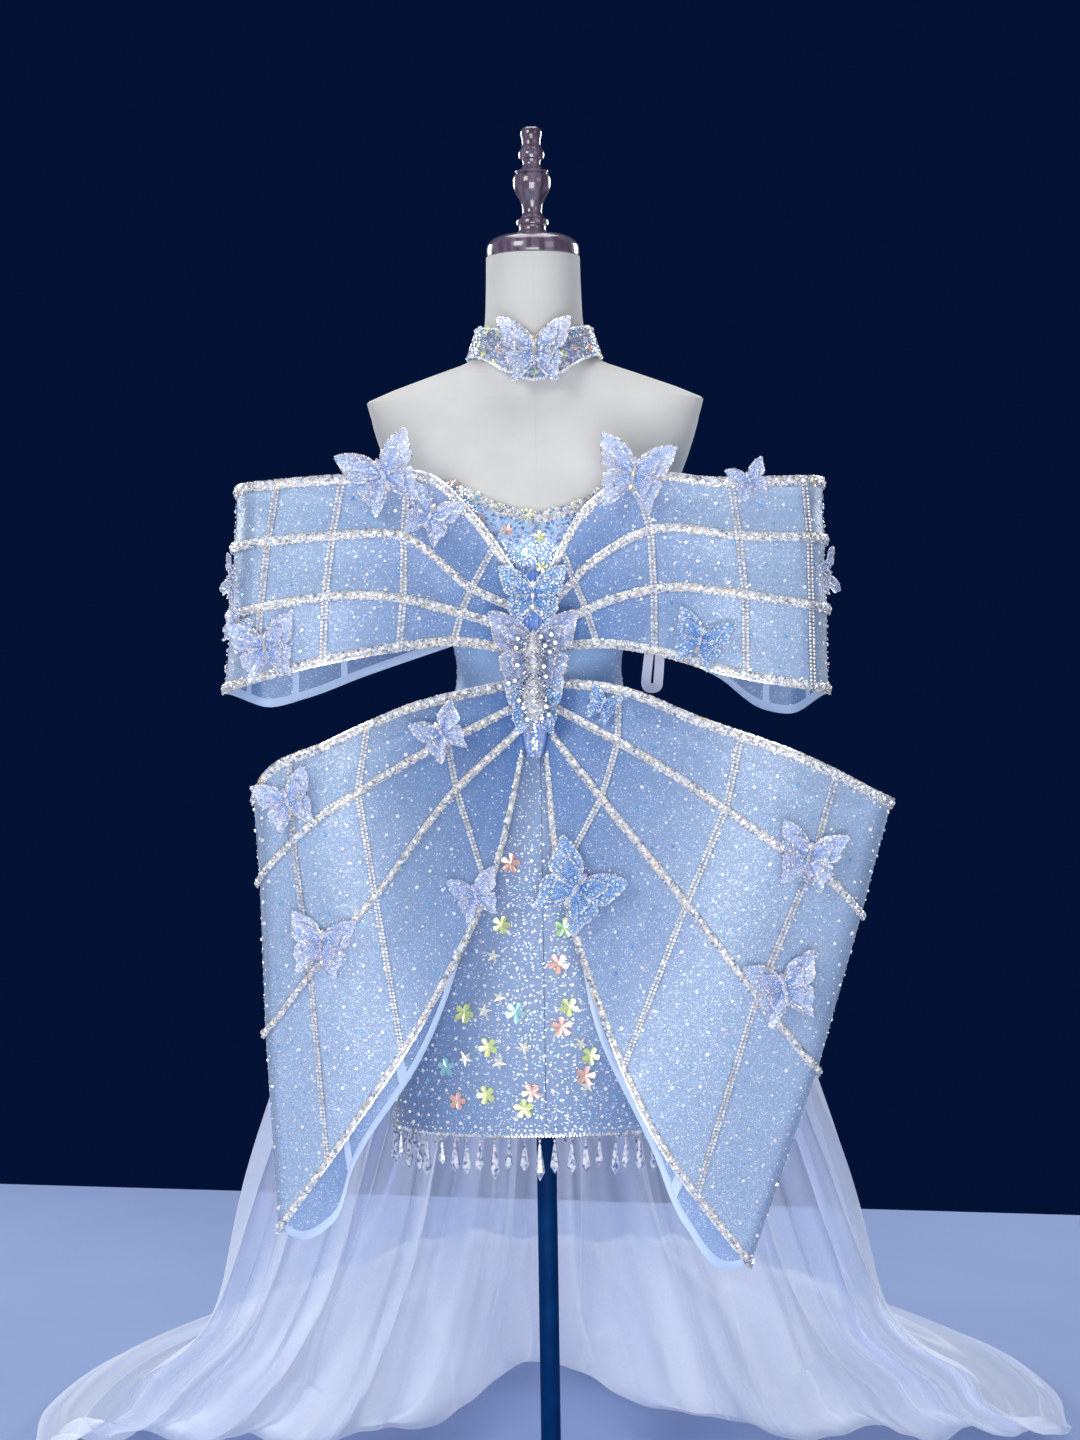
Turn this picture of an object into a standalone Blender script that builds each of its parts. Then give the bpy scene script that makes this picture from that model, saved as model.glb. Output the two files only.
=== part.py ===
"""Mini prom dress with a giant boned bow, butterflies and a tulle train, on a limbless dress form.

Units are metres and +Z is up. The front faces -Y and +X is the viewer's right. The origin is the
centre of the stand's base, on the floor. Tables marked "mm" are in millimetres.
"""

import math
from collections import namedtuple

import bpy
import numpy as np

MM = 0.001
GAP = 0.3 * MM                 # between two pieces that are sewn or rest together
DENSE = 400                    # samples of a curve that is read by its length
CREASE = 35                    # degrees between faces that are shaded as an edge

# Walls of cloth and what lies on them
EASE = 2.6 * MM                # air between the form and the bodice
BODICE_WALL = 2.0 * MM
SKIRT_WALL = 1.6 * MM
ORGANZA_WALL = 1.0 * MM
TULLE_WALL = 1.2 * MM
BAND_WALL = 1.4 * MM
BAND_WIDTH = 10.0 * MM         # radiating and edge bands
CROSS_WIDTH = 8.0 * MM         # double-row cross bands

# Dress form and stand
BASE_RADIUS = 0.170
POLE_RADIUS = 0.0115
COLLAR_TOP = 0.050
TURNED_SIDES, BASE_SIDES = 16, 24
BUST = 0.014                   # how far each cup stands out of the rings below
BUST_X, BUST_Z = 0.068, 1.232
BUST_WIDE, BUST_TALL = 0.042, 0.050
Ring = namedtuple("Ring", "z half_width front back squareness")
FORM_RINGS = (
    Ring(0.665, 0.128, 0.080, 0.092, 2.2),
    Ring(0.680, 0.142, 0.092, 0.104, 2.2),
    Ring(0.760, 0.154, 0.098, 0.113, 2.2),
    Ring(0.860, 0.154, 0.099, 0.113, 2.2),
    Ring(0.950, 0.136, 0.090, 0.100, 2.2),
    Ring(1.020, 0.107, 0.079, 0.085, 2.2),
    Ring(1.088, 0.090, 0.074, 0.078, 2.2),
    Ring(1.150, 0.104, 0.082, 0.085, 2.3),
    Ring(1.220, 0.130, 0.094, 0.094, 2.4),
    Ring(1.280, 0.154, 0.091, 0.096, 2.5),
    Ring(1.335, 0.176, 0.078, 0.090, 2.5),
    Ring(1.380, 0.189, 0.062, 0.078, 2.5),
    Ring(1.400, 0.191, 0.052, 0.068, 2.4),
    Ring(1.412, 0.163, 0.050, 0.064, 2.2),
    Ring(1.428, 0.118, 0.051, 0.061, 2.1),
    Ring(1.442, 0.079, 0.053, 0.058, 2.0),
    Ring(1.456, 0.0635, 0.053, 0.055, 2.0),
    Ring(1.478, 0.0580, 0.052, 0.053, 2.0),
    Ring(1.520, 0.0550, 0.051, 0.051, 2.0),
    Ring(1.563, 0.0540, 0.050, 0.050, 2.0),
)
FORM_WORN = (0.985, 1.310)     # heights where the bodice hugs the form, worked in finer rings
FORM_WORN_ROWS = 13
Turning = namedtuple("Turning", "z radius")
FINIAL_PROFILE = (
    Turning(1.5635, 0.0530), Turning(1.5730, 0.0535), Turning(1.5790, 0.0520),
    Turning(1.5870, 0.0440), Turning(1.5920, 0.0250), Turning(1.5960, 0.0155),
    Turning(1.6040, 0.0180), Turning(1.6120, 0.0120), Turning(1.6260, 0.0125),
    Turning(1.6440, 0.0220), Turning(1.6560, 0.0215), Turning(1.6640, 0.0120),
    Turning(1.6720, 0.0100), Turning(1.6780, 0.0145), Turning(1.6860, 0.0150),
    Turning(1.6960, 0.0110), Turning(1.7080, 0.0125), Turning(1.7120, 0.0100),
)
BASE_PROFILE = (
    Turning(0.000, BASE_RADIUS - 0.002), Turning(0.003, BASE_RADIUS), Turning(0.009, BASE_RADIUS),
    Turning(0.013, 0.150), Turning(0.018, 0.050), Turning(0.024, 0.022),
    Turning(COLLAR_TOP, 0.018),
)

# Bodice and skirt
WAIST_Z = 1.060                # seam between bodice and skirt
HEM_Z = 0.569
TRIM_TALL = 12.0 * MM          # neckline trim
HEM_TRIM_TALL = 9.0 * MM
FRINGE_REACH = 0.046
FRINGE_WALL = 3.0 * MM
QUARTER_CELLS = 8              # cells round each quarter of the bodice and skirt
BODICE_RADIUS, SKIRT_RADIUS = 0.12, 0.14    # round sizes that turn a seam's gap into an angle
SKIRT_ROWS = (1.020, 0.960, 0.880, 0.780, 0.670)
BODICE_ROWS = 9                # rows under the neckline trim
SKIRT_RINGS = (                # the skirt's outer face, under the waist seam
    Ring(0.569, 0.1750, 0.1200, 0.1220, 2.2),
    Ring(0.670, 0.1730, 0.1165, 0.1210, 2.2),
    Ring(0.780, 0.1690, 0.1115, 0.1205, 2.2),
    Ring(0.880, 0.1610, 0.1065, 0.1180, 2.2),
    Ring(0.960, 0.1420, 0.0970, 0.1080, 2.2),
    Ring(1.020, 0.1160, 0.0865, 0.0930, 2.2),
)
NeckPoint = namedtuple("NeckPoint", "from_front top_z")     # degrees round from the centre front
NECKLINE = (
    NeckPoint(0, 1.262), NeckPoint(12, 1.274), NeckPoint(30, 1.300), NeckPoint(45, 1.300),
    NeckPoint(65, 1.280), NeckPoint(90, 1.260), NeckPoint(120, 1.244), NeckPoint(150, 1.236),
    NeckPoint(180, 1.233),
)
ZIP_TOP, ZIP_BOTTOM, ZIP_HALF, ZIP_WALL = 1.220, 1.050, 5.0 * MM, 1.2 * MM
ZIP_RADIUS = 0.09              # of the back at the zip

# Choker: a collar that leans on the base of the neck, lowest in front
CHOKER_WALL = 3.0 * MM
CHOKER_CELLS = 28
ChokerRim = namedtuple("ChokerRim", "half_width front back side_z front_z back_z")
CHOKER_TOP = ChokerRim(0.0665, 0.0620, 0.0610, 1.4785, 1.4640, 1.4850)
CHOKER_FOOT = ChokerRim(0.0765, 0.0735, 0.0680, 1.4480, 1.4155, 1.4505)

# Bow knot
KNOT_X = -0.006
KNOT_BOTTOM, KNOT_TOP = 0.992, 1.196
KNOT_END_HALF, KNOT_WAIST_HALF = 0.008, 0.021
KNOT_DEPTH = 0.042
KNOT_SLIM = 0.62               # share of its depth at its top and bottom
KNOT_ROUND = 0.7               # power that squares its section and plumps its outline
KNOT_SIDES, KNOT_RINGS = 14, 9
BONE_START = 0.45              # share of the knot's depth where the bones begin
KNOT_SEAT = 0.8 * MM           # from the dress's face to the knot's back
KNOT_CLEAR = 0.8 * MM          # from the knot's side to the panels' ends
BAND_CLEAR = 3.0 * MM          # how much shorter the bands are there

# Bow loops. A bone runs from the knot to the loop's outer turn. route is (x, z) in mm, with x
# counted outwards from the centre line. near_y, middle_y and far_y are the bone's depth at 25%,
# 60% and 100% of its length, and turn_x and turn_y are the half axes of its outer turn.
Bone = namedtuple("Bone", "start_z route near_y middle_y far_y turn_x turn_y")
# A back edge runs from the outer turn back to the body. Its last point is seam_angle, in degrees
# round from the centre front, at seam_z, and middle_y is its depth half way.
BackEdge = namedtuple("BackEdge", "route middle_y seam_angle seam_z")
# Where each cross band meets the four bones: x in mm, counted outwards.
Crossing = namedtuple("Crossing", "at_0 at_1 at_2 at_3")
Loop = namedtuple("Loop", "side clears_skirt bones back_top back_bottom crossings")
LOOPS = {
    "upper_right": Loop(
        side=1, clears_skirt=False,
        bones=(
            Bone(1187, ((58, 1272), (97, 1298), (198, 1295), (322, 1296)), -130, -148, -142, 34, 76),
            Bone(1156, ((64, 1208), (125, 1239), (221, 1231), (323, 1228)), -130, -150, -144, 35, 78),
            Bone(1134, ((76, 1162), (149, 1176), (220, 1167), (325, 1150)), -126, -150, -144, 36, 80),
            Bone(1108, ((76, 1111), (133, 1101), (200, 1080), (326, 1056)), -122, -148, -142, 37, 82),
        ),
        back_top=BackEdge(((240, 1290),), 30, 112, 1232),
        back_bottom=BackEdge(((296, 1034), (262, 1038), (206, 1078)), 32, 112, 1120),
        crossings=(
            Crossing(26, 40, 54, 66), Crossing(108, 125, 128, 128),
            Crossing(212, 221, 227, 227), Crossing(294, 299, 300, 301),
        ),
    ),
    "upper_left": Loop(
        side=-1, clears_skirt=False,
        bones=(
            Bone(1187, ((67, 1257), (115, 1303), (209, 1304), (337, 1296)), -130, -148, -142, 34, 76),
            Bone(1156, ((74, 1179), (147, 1236), (230, 1237), (341, 1228)), -130, -150, -144, 35, 78),
            Bone(1132, ((84, 1151), (170, 1171), (289, 1163), (347, 1151)), -126, -150, -144, 36, 80),
            Bone(1106, ((98, 1116), (156, 1110), (240, 1096), (356, 1066)), -122, -148, -142, 37, 82),
        ),
        back_top=BackEdge(((240, 1292),), 30, 112, 1232),
        back_bottom=BackEdge(((318, 1050), (273, 1059), (206, 1083)), 32, 112, 1120),
        crossings=(
            Crossing(46, 74, 86, 96), Crossing(141, 147, 149, 155),
            Crossing(212, 225, 234, 238), Crossing(284, 296, 305, 313),
        ),
    ),
    "lower_right": Loop(
        side=1, clears_skirt=True,
        bones=(
            Bone(1078, ((88, 1068), (179, 1031), (285, 991), (388, 938)), -140, -172, -158, 20, 26),
            Bone(1048, ((137, 976), (243, 901), (330, 837), (351, 810)), -142, -176, -160, 16, 24),
            Bone(1020, ((70, 941), (157, 829), (230, 730), (300, 640)), -142, -176, -160, 12, 20),
            Bone(997, ((14, 879), (60, 711), (123, 564), (222, 425)), -136, -168, -158, 8, 14),
        ),
        back_top=BackEdge(((345, 928), (298, 943), (215, 988)), -122, 42, 1046),
        back_bottom=BackEdge(((196, 420), (152, 469), (115, 558), (60, 678)), -136, 14, 984),
        crossings=(
            Crossing(88, 86, 67, 18), Crossing(220, 201, 157, 84), Crossing(324, 293, 232, 162),
        ),
    ),
    "lower_left": Loop(
        side=-1, clears_skirt=True,
        bones=(
            Bone(1078, ((143, 1051), (234, 1012), (300, 981), (318, 952)), -140, -172, -158, 20, 26),
            Bone(1048, ((163, 979), (268, 908), (303, 870), (312, 856)), -142, -176, -160, 16, 24),
            Bone(1022, ((98, 953), (180, 847), (238, 779), (308, 690)), -142, -176, -160, 12, 20),
            Bone(999, ((54, 857), (130, 707), (210, 589), (297, 471)), -136, -168, -158, 8, 14),
        ),
        back_top=BackEdge(((280, 944), (215, 988)), -122, 42, 1046),
        back_bottom=BackEdge(((272, 460), (238, 478), (213, 542), (139, 655)), -136, 14, 984),
        crossings=(
            Crossing(103, 103, 94, 60), Crossing(188, 200, 183, 156), Crossing(274, 271, 255, 240),
        ),
    ),
}
BONE_DEPTHS_AT = (0, 0.25, 0.60, 1.0)     # shares of a bone's length where its depths are given
BAND_REACH = 0.45              # most of the way to the next bone that a band may cover
LAST_COLUMN = 0.55             # share of the way from the last cross band to the turn's end
BONE_SAMPLES = 90              # straight part of a bone's worked curve
TURN_SAMPLES = 24
SEAM_CLEAR = 1.1 * MM          # from a back panel's end to the dress
BACK_STEPS = (0.0, 0.10, 0.22, 0.42, 0.60, 0.78, 0.90, 1.0)    # columns along a back panel
BACK_CLEAR = 14.0 * MM         # least room from a lower loop's back panel to the skirt, at its turn

# Butterflies. bone and along place one on a loop's front: bone 0 is the top edge and 3 the bottom
# or inner edge, and along runs from the knot to the turn. span is its width, roll its turn.
Wing = namedtuple("Wing", "angle reach")            # the right half's outline, in spans
WING_OUTLINE = (
    Wing(90, 0.13), Wing(72, 0.36), Wing(52, 0.58), Wing(30, 0.57), Wing(10, 0.38),
    Wing(-8, 0.27), Wing(-30, 0.40), Wing(-52, 0.46), Wing(-72, 0.28), Wing(-90, 0.16),
)
WING_WALL = 1.2 * MM
WING_RISE = 0.20               # how far the wings lift for each metre from the body
BODY_RADIUS = 0.07             # of the span
WING_HEIGHT = 7.0 * MM         # of a butterfly's body over the panel
BODY_TALL = 1.6                # its body's height for its width
FACE_STEP = 0.03               # share of a bone over which a face's direction is read
CHOKER_SPAN = 0.082
# layers counts the bands' thicknesses between a butterfly's body and the panel.
Butterfly = namedtuple("Butterfly", "name loop bone along span roll layers")
BUTTERFLIES = (
    Butterfly("butterfly_upper_left_top", "upper_left", 0.14, 0.46, 0.084, 22, 1),
    Butterfly("butterfly_upper_left_side", "upper_left", 2.62, 0.70, 0.074, 10, 0),
    Butterfly("butterfly_upper_right_top", "upper_right", 0.06, 0.36, 0.085, -12, 1),
    Butterfly("butterfly_upper_right_low", "upper_right", 2.70, 0.44, 0.064, -20, 0),
    Butterfly("butterfly_upper_right_side", "upper_right", 1.60, 0.84, 0.052, -70, 0),
    Butterfly("butterfly_lower_left_outer", "lower_left", 0.62, 0.77, 0.066, 20, 1),
    Butterfly("butterfly_lower_left_middle", "lower_left", 1.90, 0.74, 0.072, -10, 1.8),
    Butterfly("butterfly_lower_left_inner", "lower_left", 2.88, 0.30, 0.056, 15, 1),
    Butterfly("butterfly_lower_left_near", "lower_left", 0.86, 0.27, 0.060, 30, 2),
    Butterfly("butterfly_lower_right_inner", "lower_right", 2.86, 0.275, 0.092, -35, 1),
    Butterfly("butterfly_lower_right_outer", "lower_right", 1.0, 0.75, 0.074, -15, 2),
    Butterfly("butterfly_lower_right_middle", "lower_right", 1.80, 0.82, 0.080, 12, 0),
    Butterfly("butterfly_lower_right_near", "lower_right", 0.50, 0.15, 0.040, -25, 0),
)
KnotButterfly = namedtuple("KnotButterfly", "name z span height roll")
KNOT_BUTTERFLIES = (
    KnotButterfly("knot_butterfly_top", 1.166, 0.074, 0.004, 0),
    KnotButterfly("knot_butterfly_middle", 1.104, 0.098, 0.010, 0),
    KnotButterfly("knot_butterfly_bottom", 1.044, 0.066, 0.004, 0),
)

# Train: stations from the waist to its far end. half_width is at the side edges, the next columns
# are at the middle and at the side edges, fold is the height of its folds, and lean is the share
# of the half width over which the middle's depth turns into the sides'.
Station = namedtuple("Station", "half_width middle_y side_y middle_z side_z fold lean")
TRAIN = (
    Station(0.078, 0.0905, 0.0700, 1.040, 1.040, 0.002, 1.20),
    Station(0.150, 0.150, 0.120, 0.930, 0.925, 0.010, 1.20),
    Station(0.255, 0.290, 0.220, 0.730, 0.715, 0.027, 1.10),
    Station(0.350, 0.480, 0.330, 0.490, 0.470, 0.036, 0.80),
    Station(0.440, 0.695, 0.415, 0.260, 0.250, 0.040, 0.48),
    Station(0.570, 0.880, 0.455, 0.085, 0.120, 0.034, 0.20),
    Station(0.690, 1.005, 0.505, 0.004, 0.040, 0.022, 0.155),
    Station(0.740, 1.230, 0.810, 0.003, 0.012, 0.018, 0.28),
    Station(0.700, 1.560, 1.130, 0.003, 0.003, 0.020, 0.42),
    Station(0.560, 1.860, 1.420, 0.003, 0.003, 0.018, 0.60),
    Station(0.400, 2.140, 1.700, 0.003, 0.003, 0.012, 0.90),
)
TRAIN_GORES = ("train_gore_left", "train_gore_middle", "train_gore_right")
TRAIN_FOLDS = 9
TRAIN_LEAN_POWER = 2.2
TRAIN_TURN = 80                # degrees that the cloth's spread turns through from middle to side
TRAIN_DRIFT = 0.04             # how far the folds wander to the side
TRAIN_STEP = 0.01              # share over which the train's direction is read
TRAIN_WAVY = 0.05              # how much shorter its far edge is where it curves in
GORE_CELLS = 12                # four cells to a fold
TRAIN_ROWS = 14
TRAIN_SEAM_ANGLE = 52          # degrees round from the centre back to a side edge
TRAIN_HELD = 0.10              # share of the length that the waist seam still shapes
TRAIN_FLOOR = 2.0 * MM         # the lowest face's height

# Hanger ribbon: a long loop from the side seam's top, its face to the front
RIBBON_TOP = (0.1467, 0.004, 1.2350)      # middle of its two ends
RIBBON_FOOT = (0.1302, 0.004, 1.0720)     # centre of its bend
RIBBON_WIDE, RIBBON_WALL = 11.0 * MM, 1.0 * MM
RIBBON_SPREAD = 6.9 * MM       # from the loop's middle to the middle of each limb, at the foot
RIBBON_APART = 3.0 * MM        # how far the limbs lie before and behind the loop's middle
RIBBON_CELLS, RIBBON_BEND_CELLS = 8, 8
RIBBON_SQUARE = 0.85           # power that squares its bend a little

Finish = namedtuple("Finish", "red green blue roughness metallic")
FINISHES = {
    "form": Finish(0.80, 0.78, 0.72, 0.75, 0.0),
    "wood": Finish(0.10, 0.07, 0.08, 0.25, 0.0),
    "pole": Finish(0.01, 0.03, 0.07, 0.35, 0.2),
    "satin": Finish(0.30, 0.40, 0.66, 0.45, 0.0),
    "organza": Finish(0.42, 0.55, 0.80, 0.50, 0.0),
    "silver": Finish(0.75, 0.75, 0.76, 0.30, 0.6),
    "wing": Finish(0.50, 0.60, 0.85, 0.40, 0.0),
    "crystal": Finish(0.85, 0.88, 0.92, 0.15, 0.0),
    "tulle": Finish(0.82, 0.82, 0.92, 0.80, 0.0),
    "ribbon": Finish(0.90, 0.90, 0.92, 0.40, 0.0),
}


# ---------------------------------------------------------------- shared tools

def clear_scene():
    """Remove every object, so that the file holds only this model."""
    for thing in list(bpy.data.objects):
        bpy.data.objects.remove(thing, do_unlink=True)


def finish(name, kind):
    """A plain material of its own for one piece."""
    look = FINISHES[kind]
    made = bpy.data.materials.new(name + "_finish")
    made.use_nodes = True
    shader = made.node_tree.nodes["Principled BSDF"]
    shader.inputs["Base Color"].default_value = (look.red, look.green, look.blue, 1.0)
    shader.inputs["Roughness"].default_value = look.roughness
    shader.inputs["Metallic"].default_value = look.metallic
    return made


def solid(name, kind, points, triangles):
    """One closed piece from its points and triangles, which all face out or all face in."""
    points, triangles = np.asarray(points, float), np.asarray(triangles, int)
    a, b, c = (points[triangles[:, i]] - points.mean(axis=0) for i in range(3))
    if np.einsum("ij,ij->", a, np.cross(b, c)) < 0:
        triangles = triangles[:, ::-1]
    mesh = bpy.data.meshes.new(name)
    mesh.from_pydata(points.tolist(), [], triangles.tolist())
    mesh.update()
    mesh.materials.append(finish(name, kind))
    mesh.shade_smooth()
    mesh.set_sharp_from_angle(angle=math.radians(CREASE))
    piece = bpy.data.objects.new(name, mesh)
    bpy.context.scene.collection.objects.link(piece)
    return piece


def smooth(stations, values, at):
    """A smooth curve through (station, value) pairs, read at one or many places."""
    s = np.asarray(stations, float)
    v = np.asarray(values, float)
    q = np.clip(np.asarray(at, float), s[0], s[-1])
    slope = np.gradient(v, s, axis=0)
    k = np.clip(np.searchsorted(s, q, side="right") - 1, 0, len(s) - 2)
    step = s[k + 1] - s[k]
    f = (q - s[k]) / step
    if v.ndim > 1:
        f = f[..., None]
        step = step[..., None]
    return (
        v[k] * (2 * f**3 - 3 * f**2 + 1) + slope[k] * step * (f**3 - 2 * f**2 + f)
        + v[k + 1] * (3 * f**2 - 2 * f**3) + slope[k + 1] * step * (f**3 - f**2)
    )


def lengths(line):
    """Length along a line of points, from 0 to 1."""
    run = np.concatenate([[0.0], np.cumsum(np.linalg.norm(np.diff(line, axis=0), axis=1))])
    return run / run[-1]


def along(line, shares):
    """Points at shares of a line's length."""
    run = lengths(line)
    return np.stack([np.interp(shares, run, line[:, i]) for i in range(line.shape[1])], axis=1)


def grid_normals(grid, closed=False):
    """Unit normals of a grid of points: rows down crossed with columns along."""
    down = np.gradient(grid, axis=0)
    if closed:
        beside = (np.roll(grid, -1, axis=1) - np.roll(grid, 1, axis=1)) / 2
    else:
        beside = np.gradient(grid, axis=1)
    normal = np.cross(down, beside)
    return normal / np.linalg.norm(normal, axis=2, keepdims=True)


def sheet(name, kind, outer, inner, keep=None, closed=False):
    """A wall between two matching grids of points, with only the cells in keep.

    The outer grid's rows crossed with its columns face out of the wall. All cells are split along
    the same diagonal, so sheets made from one grid lie parallel.
    """
    rows, columns = outer.shape[:2]
    wide = columns if closed else columns - 1
    if keep is None:
        keep = np.ones((rows - 1, wide), bool)
    number = {}
    points = []

    def corner(side, i, j):
        key = (side, i, j % columns)
        if key not in number:
            number[key] = len(points)
            points.append((outer if side == 0 else inner)[i, j % columns])
        return number[key]

    def kept(i, j):
        if closed:
            j %= columns
        return 0 <= i < rows - 1 and 0 <= j < wide and keep[i, j]

    triangles = []

    def rim(a, b):
        triangles.append((corner(0, *b), corner(0, *a), corner(1, *a)))
        triangles.append((corner(0, *b), corner(1, *a), corner(1, *b)))

    for i in range(rows - 1):
        for j in range(wide):
            if not kept(i, j):
                continue
            a, b, c, d = (i, j), (i + 1, j), (i + 1, j + 1), (i, j + 1)
            for tri in ((a, b, c), (a, c, d)):
                triangles.append([corner(0, *p) for p in tri])
                triangles.append([corner(1, *p) for p in reversed(tri)])
            for near, start, end in (
                ((i, j - 1), a, b), ((i + 1, j), b, c), ((i, j + 1), c, d), ((i - 1, j), d, a)
            ):
                if not kept(*near):
                    rim(start, end)
    return solid(name, kind, points, triangles)


def column_solid(name, kind, rings):
    """A closed solid through rings of points, from its bottom ring to its top ring."""
    rings = np.asarray(rings)
    count, around = rings.shape[:2]
    points = [p for ring in rings for p in ring]
    triangles = []
    for i in range(count - 1):
        for j in range(around):
            a, b = i * around + j, i * around + (j + 1) % around
            triangles.append((a, b, b + around))
            triangles.append((a, b + around, a + around))
    bottom = len(points)
    points.append(rings[0].mean(axis=0))
    points.append(rings[-1].mean(axis=0))
    last = (count - 1) * around
    for j in range(around):
        after = (j + 1) % around
        triangles.append((bottom, after, j))
        triangles.append((bottom + 1, last + j, last + after))
    return solid(name, kind, points, triangles)


def turned(name, kind, profile, around):
    """A turned solid from a profile of heights and radii."""
    angles = np.linspace(0, 2 * math.pi, around, endpoint=False)
    rings = [
        np.stack([t.radius * np.cos(angles), t.radius * np.sin(angles), np.full(around, t.z)], axis=1)
        for t in profile
    ]
    return column_solid(name, kind, rings)


# ------------------------------------------------------- the body's two surfaces

def ring_at(table, z):
    """A ring's sizes at any height of a table of rings."""
    heights = [r.z for r in table]
    sizes = np.array([r[1:] for r in table])
    return smooth(heights, sizes, np.asarray(z, float))


def ring_point(sizes, angle, z, off):
    """A point round a ring: angle 0 is at +X and -90 degrees is the centre front."""
    half_width, front, back, squareness = np.moveaxis(np.asarray(sizes), -1, 0)
    c, s = np.cos(angle), np.sin(angle)
    depth = np.where(s < 0, front, back) + off
    x = (half_width + off) * np.sign(c) * np.abs(c) ** (2 / squareness)
    y = depth * np.sign(s) * np.abs(s) ** (2 / squareness)
    return x, y, np.broadcast_to(z, np.shape(x))


def form_point(angle, z, off=0.0):
    """A point on the form, off metres out of it, with its bust."""
    angle, z = np.broadcast_arrays(np.asarray(angle, float), np.asarray(z, float))
    x, y, z = ring_point(ring_at(FORM_RINGS, z), angle, z, off)
    cup = np.exp(-(((np.abs(x) - BUST_X) / BUST_WIDE) ** 2) - ((z - BUST_Z) / BUST_TALL) ** 2)
    y = y - BUST * cup * np.clip(-np.sin(angle), 0, 1) ** 0.5
    return np.stack([x, y, z], axis=-1)


def waist_row():
    """The ring where the bodice's outer face meets the skirt's."""
    sizes = ring_at(FORM_RINGS, WAIST_Z)
    off = EASE + BODICE_WALL
    return Ring(WAIST_Z, sizes[0] + off, sizes[1] + off, sizes[2] + off, sizes[3])


def skirt_point(angle, z, off=0.0):
    """A point on the skirt's outer face, off metres out of it."""
    angle, z = np.broadcast_arrays(np.asarray(angle, float), np.asarray(z, float))
    table = SKIRT_RINGS + (waist_row(),)
    return np.stack(ring_point(ring_at(table, z), angle, z, off), axis=-1)


def dress_point(angle, z, off=0.0):
    """A point off the dress's outer face: the bodice over the waist seam, the skirt under it."""
    if z >= WAIST_Z:
        return form_point(angle, z, EASE + BODICE_WALL + off)
    return skirt_point(angle, z, off)


def neck_top(angle):
    """Height of the bodice's top edge at an angle round it."""
    from_front = np.abs((np.degrees(angle) + 90 + 180) % 360 - 180)
    return smooth([p.from_front for p in NECKLINE], [p.top_z for p in NECKLINE], from_front)


# ----------------------------------------------------------- form and stand

def build_form():
    """The smooth limbless torso with its neck and capped shoulders, its cap, pole and base."""
    angles = np.linspace(0, 2 * math.pi, 4 * QUARTER_CELLS, endpoint=False)
    worn = np.linspace(FORM_WORN[0], FORM_WORN[1], FORM_WORN_ROWS)
    bare = [r.z for r in FORM_RINGS if not FORM_WORN[0] <= r.z <= FORM_WORN[1]]
    column_solid("form_torso", "form", [form_point(angles, z) for z in sorted([*bare, *worn])])
    turned("neck_cap_finial", "wood", FINIAL_PROFILE, TURNED_SIDES)
    pole = (Turning(COLLAR_TOP + GAP, POLE_RADIUS), Turning(FORM_RINGS[0].z - GAP, POLE_RADIUS))
    turned("stand_pole", "pole", pole, TURNED_SIDES)
    turned("stand_base", "pole", BASE_PROFILE, BASE_SIDES)


# ------------------------------------------------------------ bodice and skirt

QUARTERS = (                   # name and its first angle in degrees
    ("back_right", 0), ("back_left", 90), ("front_left", 180), ("front_right", 270),
)


def quarter_angles(first, radius):
    """Angles across one quarter, half a gap short of the seam at each end."""
    short = GAP / 2 / radius
    start = math.radians(first) + short
    return np.linspace(start, start + math.pi / 2 - 2 * short, QUARTER_CELLS + 1)


def bodice_heights(angle):
    """Rows of the bodice at one angle, from its top edge down to the waist seam."""
    top = float(neck_top(angle))
    under_trim = top - TRIM_TALL
    foot = WAIST_Z + GAP / 2
    return np.concatenate([[top], under_trim + (foot - under_trim) * np.linspace(0, 1, BODICE_ROWS)])


def bodice_grid(angles, off):
    """Points of the bodice's face, rows downwards and columns round it."""
    columns = [form_point(a, bodice_heights(a), EASE + off) for a in angles]
    return np.stack(columns, axis=1)


def skirt_heights():
    """Rows of the skirt, from the waist seam to the hem."""
    return np.array([WAIST_Z - GAP / 2, *SKIRT_ROWS, HEM_Z + HEM_TRIM_TALL, HEM_Z])


def skirt_grid(angles, off, heights=None):
    """Points of the skirt's face, rows downwards and columns round it."""
    rows = skirt_heights() if heights is None else heights
    return np.stack([skirt_point(a, rows, off) for a in angles], axis=1)


def build_dress_body():
    """Four bodice panels and four skirt panels, with seams at the sides and centres."""
    for name, first in QUARTERS:
        angles = quarter_angles(first, BODICE_RADIUS)
        sheet("bodice_" + name, "satin", bodice_grid(angles, BODICE_WALL), bodice_grid(angles, 0))
        angles = quarter_angles(first, SKIRT_RADIUS)
        sheet("skirt_" + name, "satin", skirt_grid(angles, 0), skirt_grid(angles, -SKIRT_WALL))


def build_neckline_trim():
    """The beaded strip along the front's top edge, from side seam to side seam."""
    left = quarter_angles(180, BODICE_RADIUS)
    right = quarter_angles(270, BODICE_RADIUS)
    angles = np.concatenate([left[1:-1], [math.radians(270)], right[1:-1]])
    low, high = BODICE_WALL + GAP, BODICE_WALL + GAP + BAND_WALL
    sheet("neckline_trim", "silver", bodice_grid(angles, high)[:2], bodice_grid(angles, low)[:2])


def build_zip():
    """The concealed closure's plain strip over the centre-back seam."""
    angles = math.radians(90) + np.array([-1, 0, 1]) * ZIP_HALF / ZIP_RADIUS
    above = bodice_heights(math.radians(90))
    below = skirt_heights()
    rows = [z for z in [*above, *below] if ZIP_BOTTOM <= z <= ZIP_TOP]

    def face(off):
        return np.array([[dress_point(a, z, off) for a in angles] for z in rows])

    sheet("back_zip", "satin", face(GAP + ZIP_WALL), face(GAP))


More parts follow.
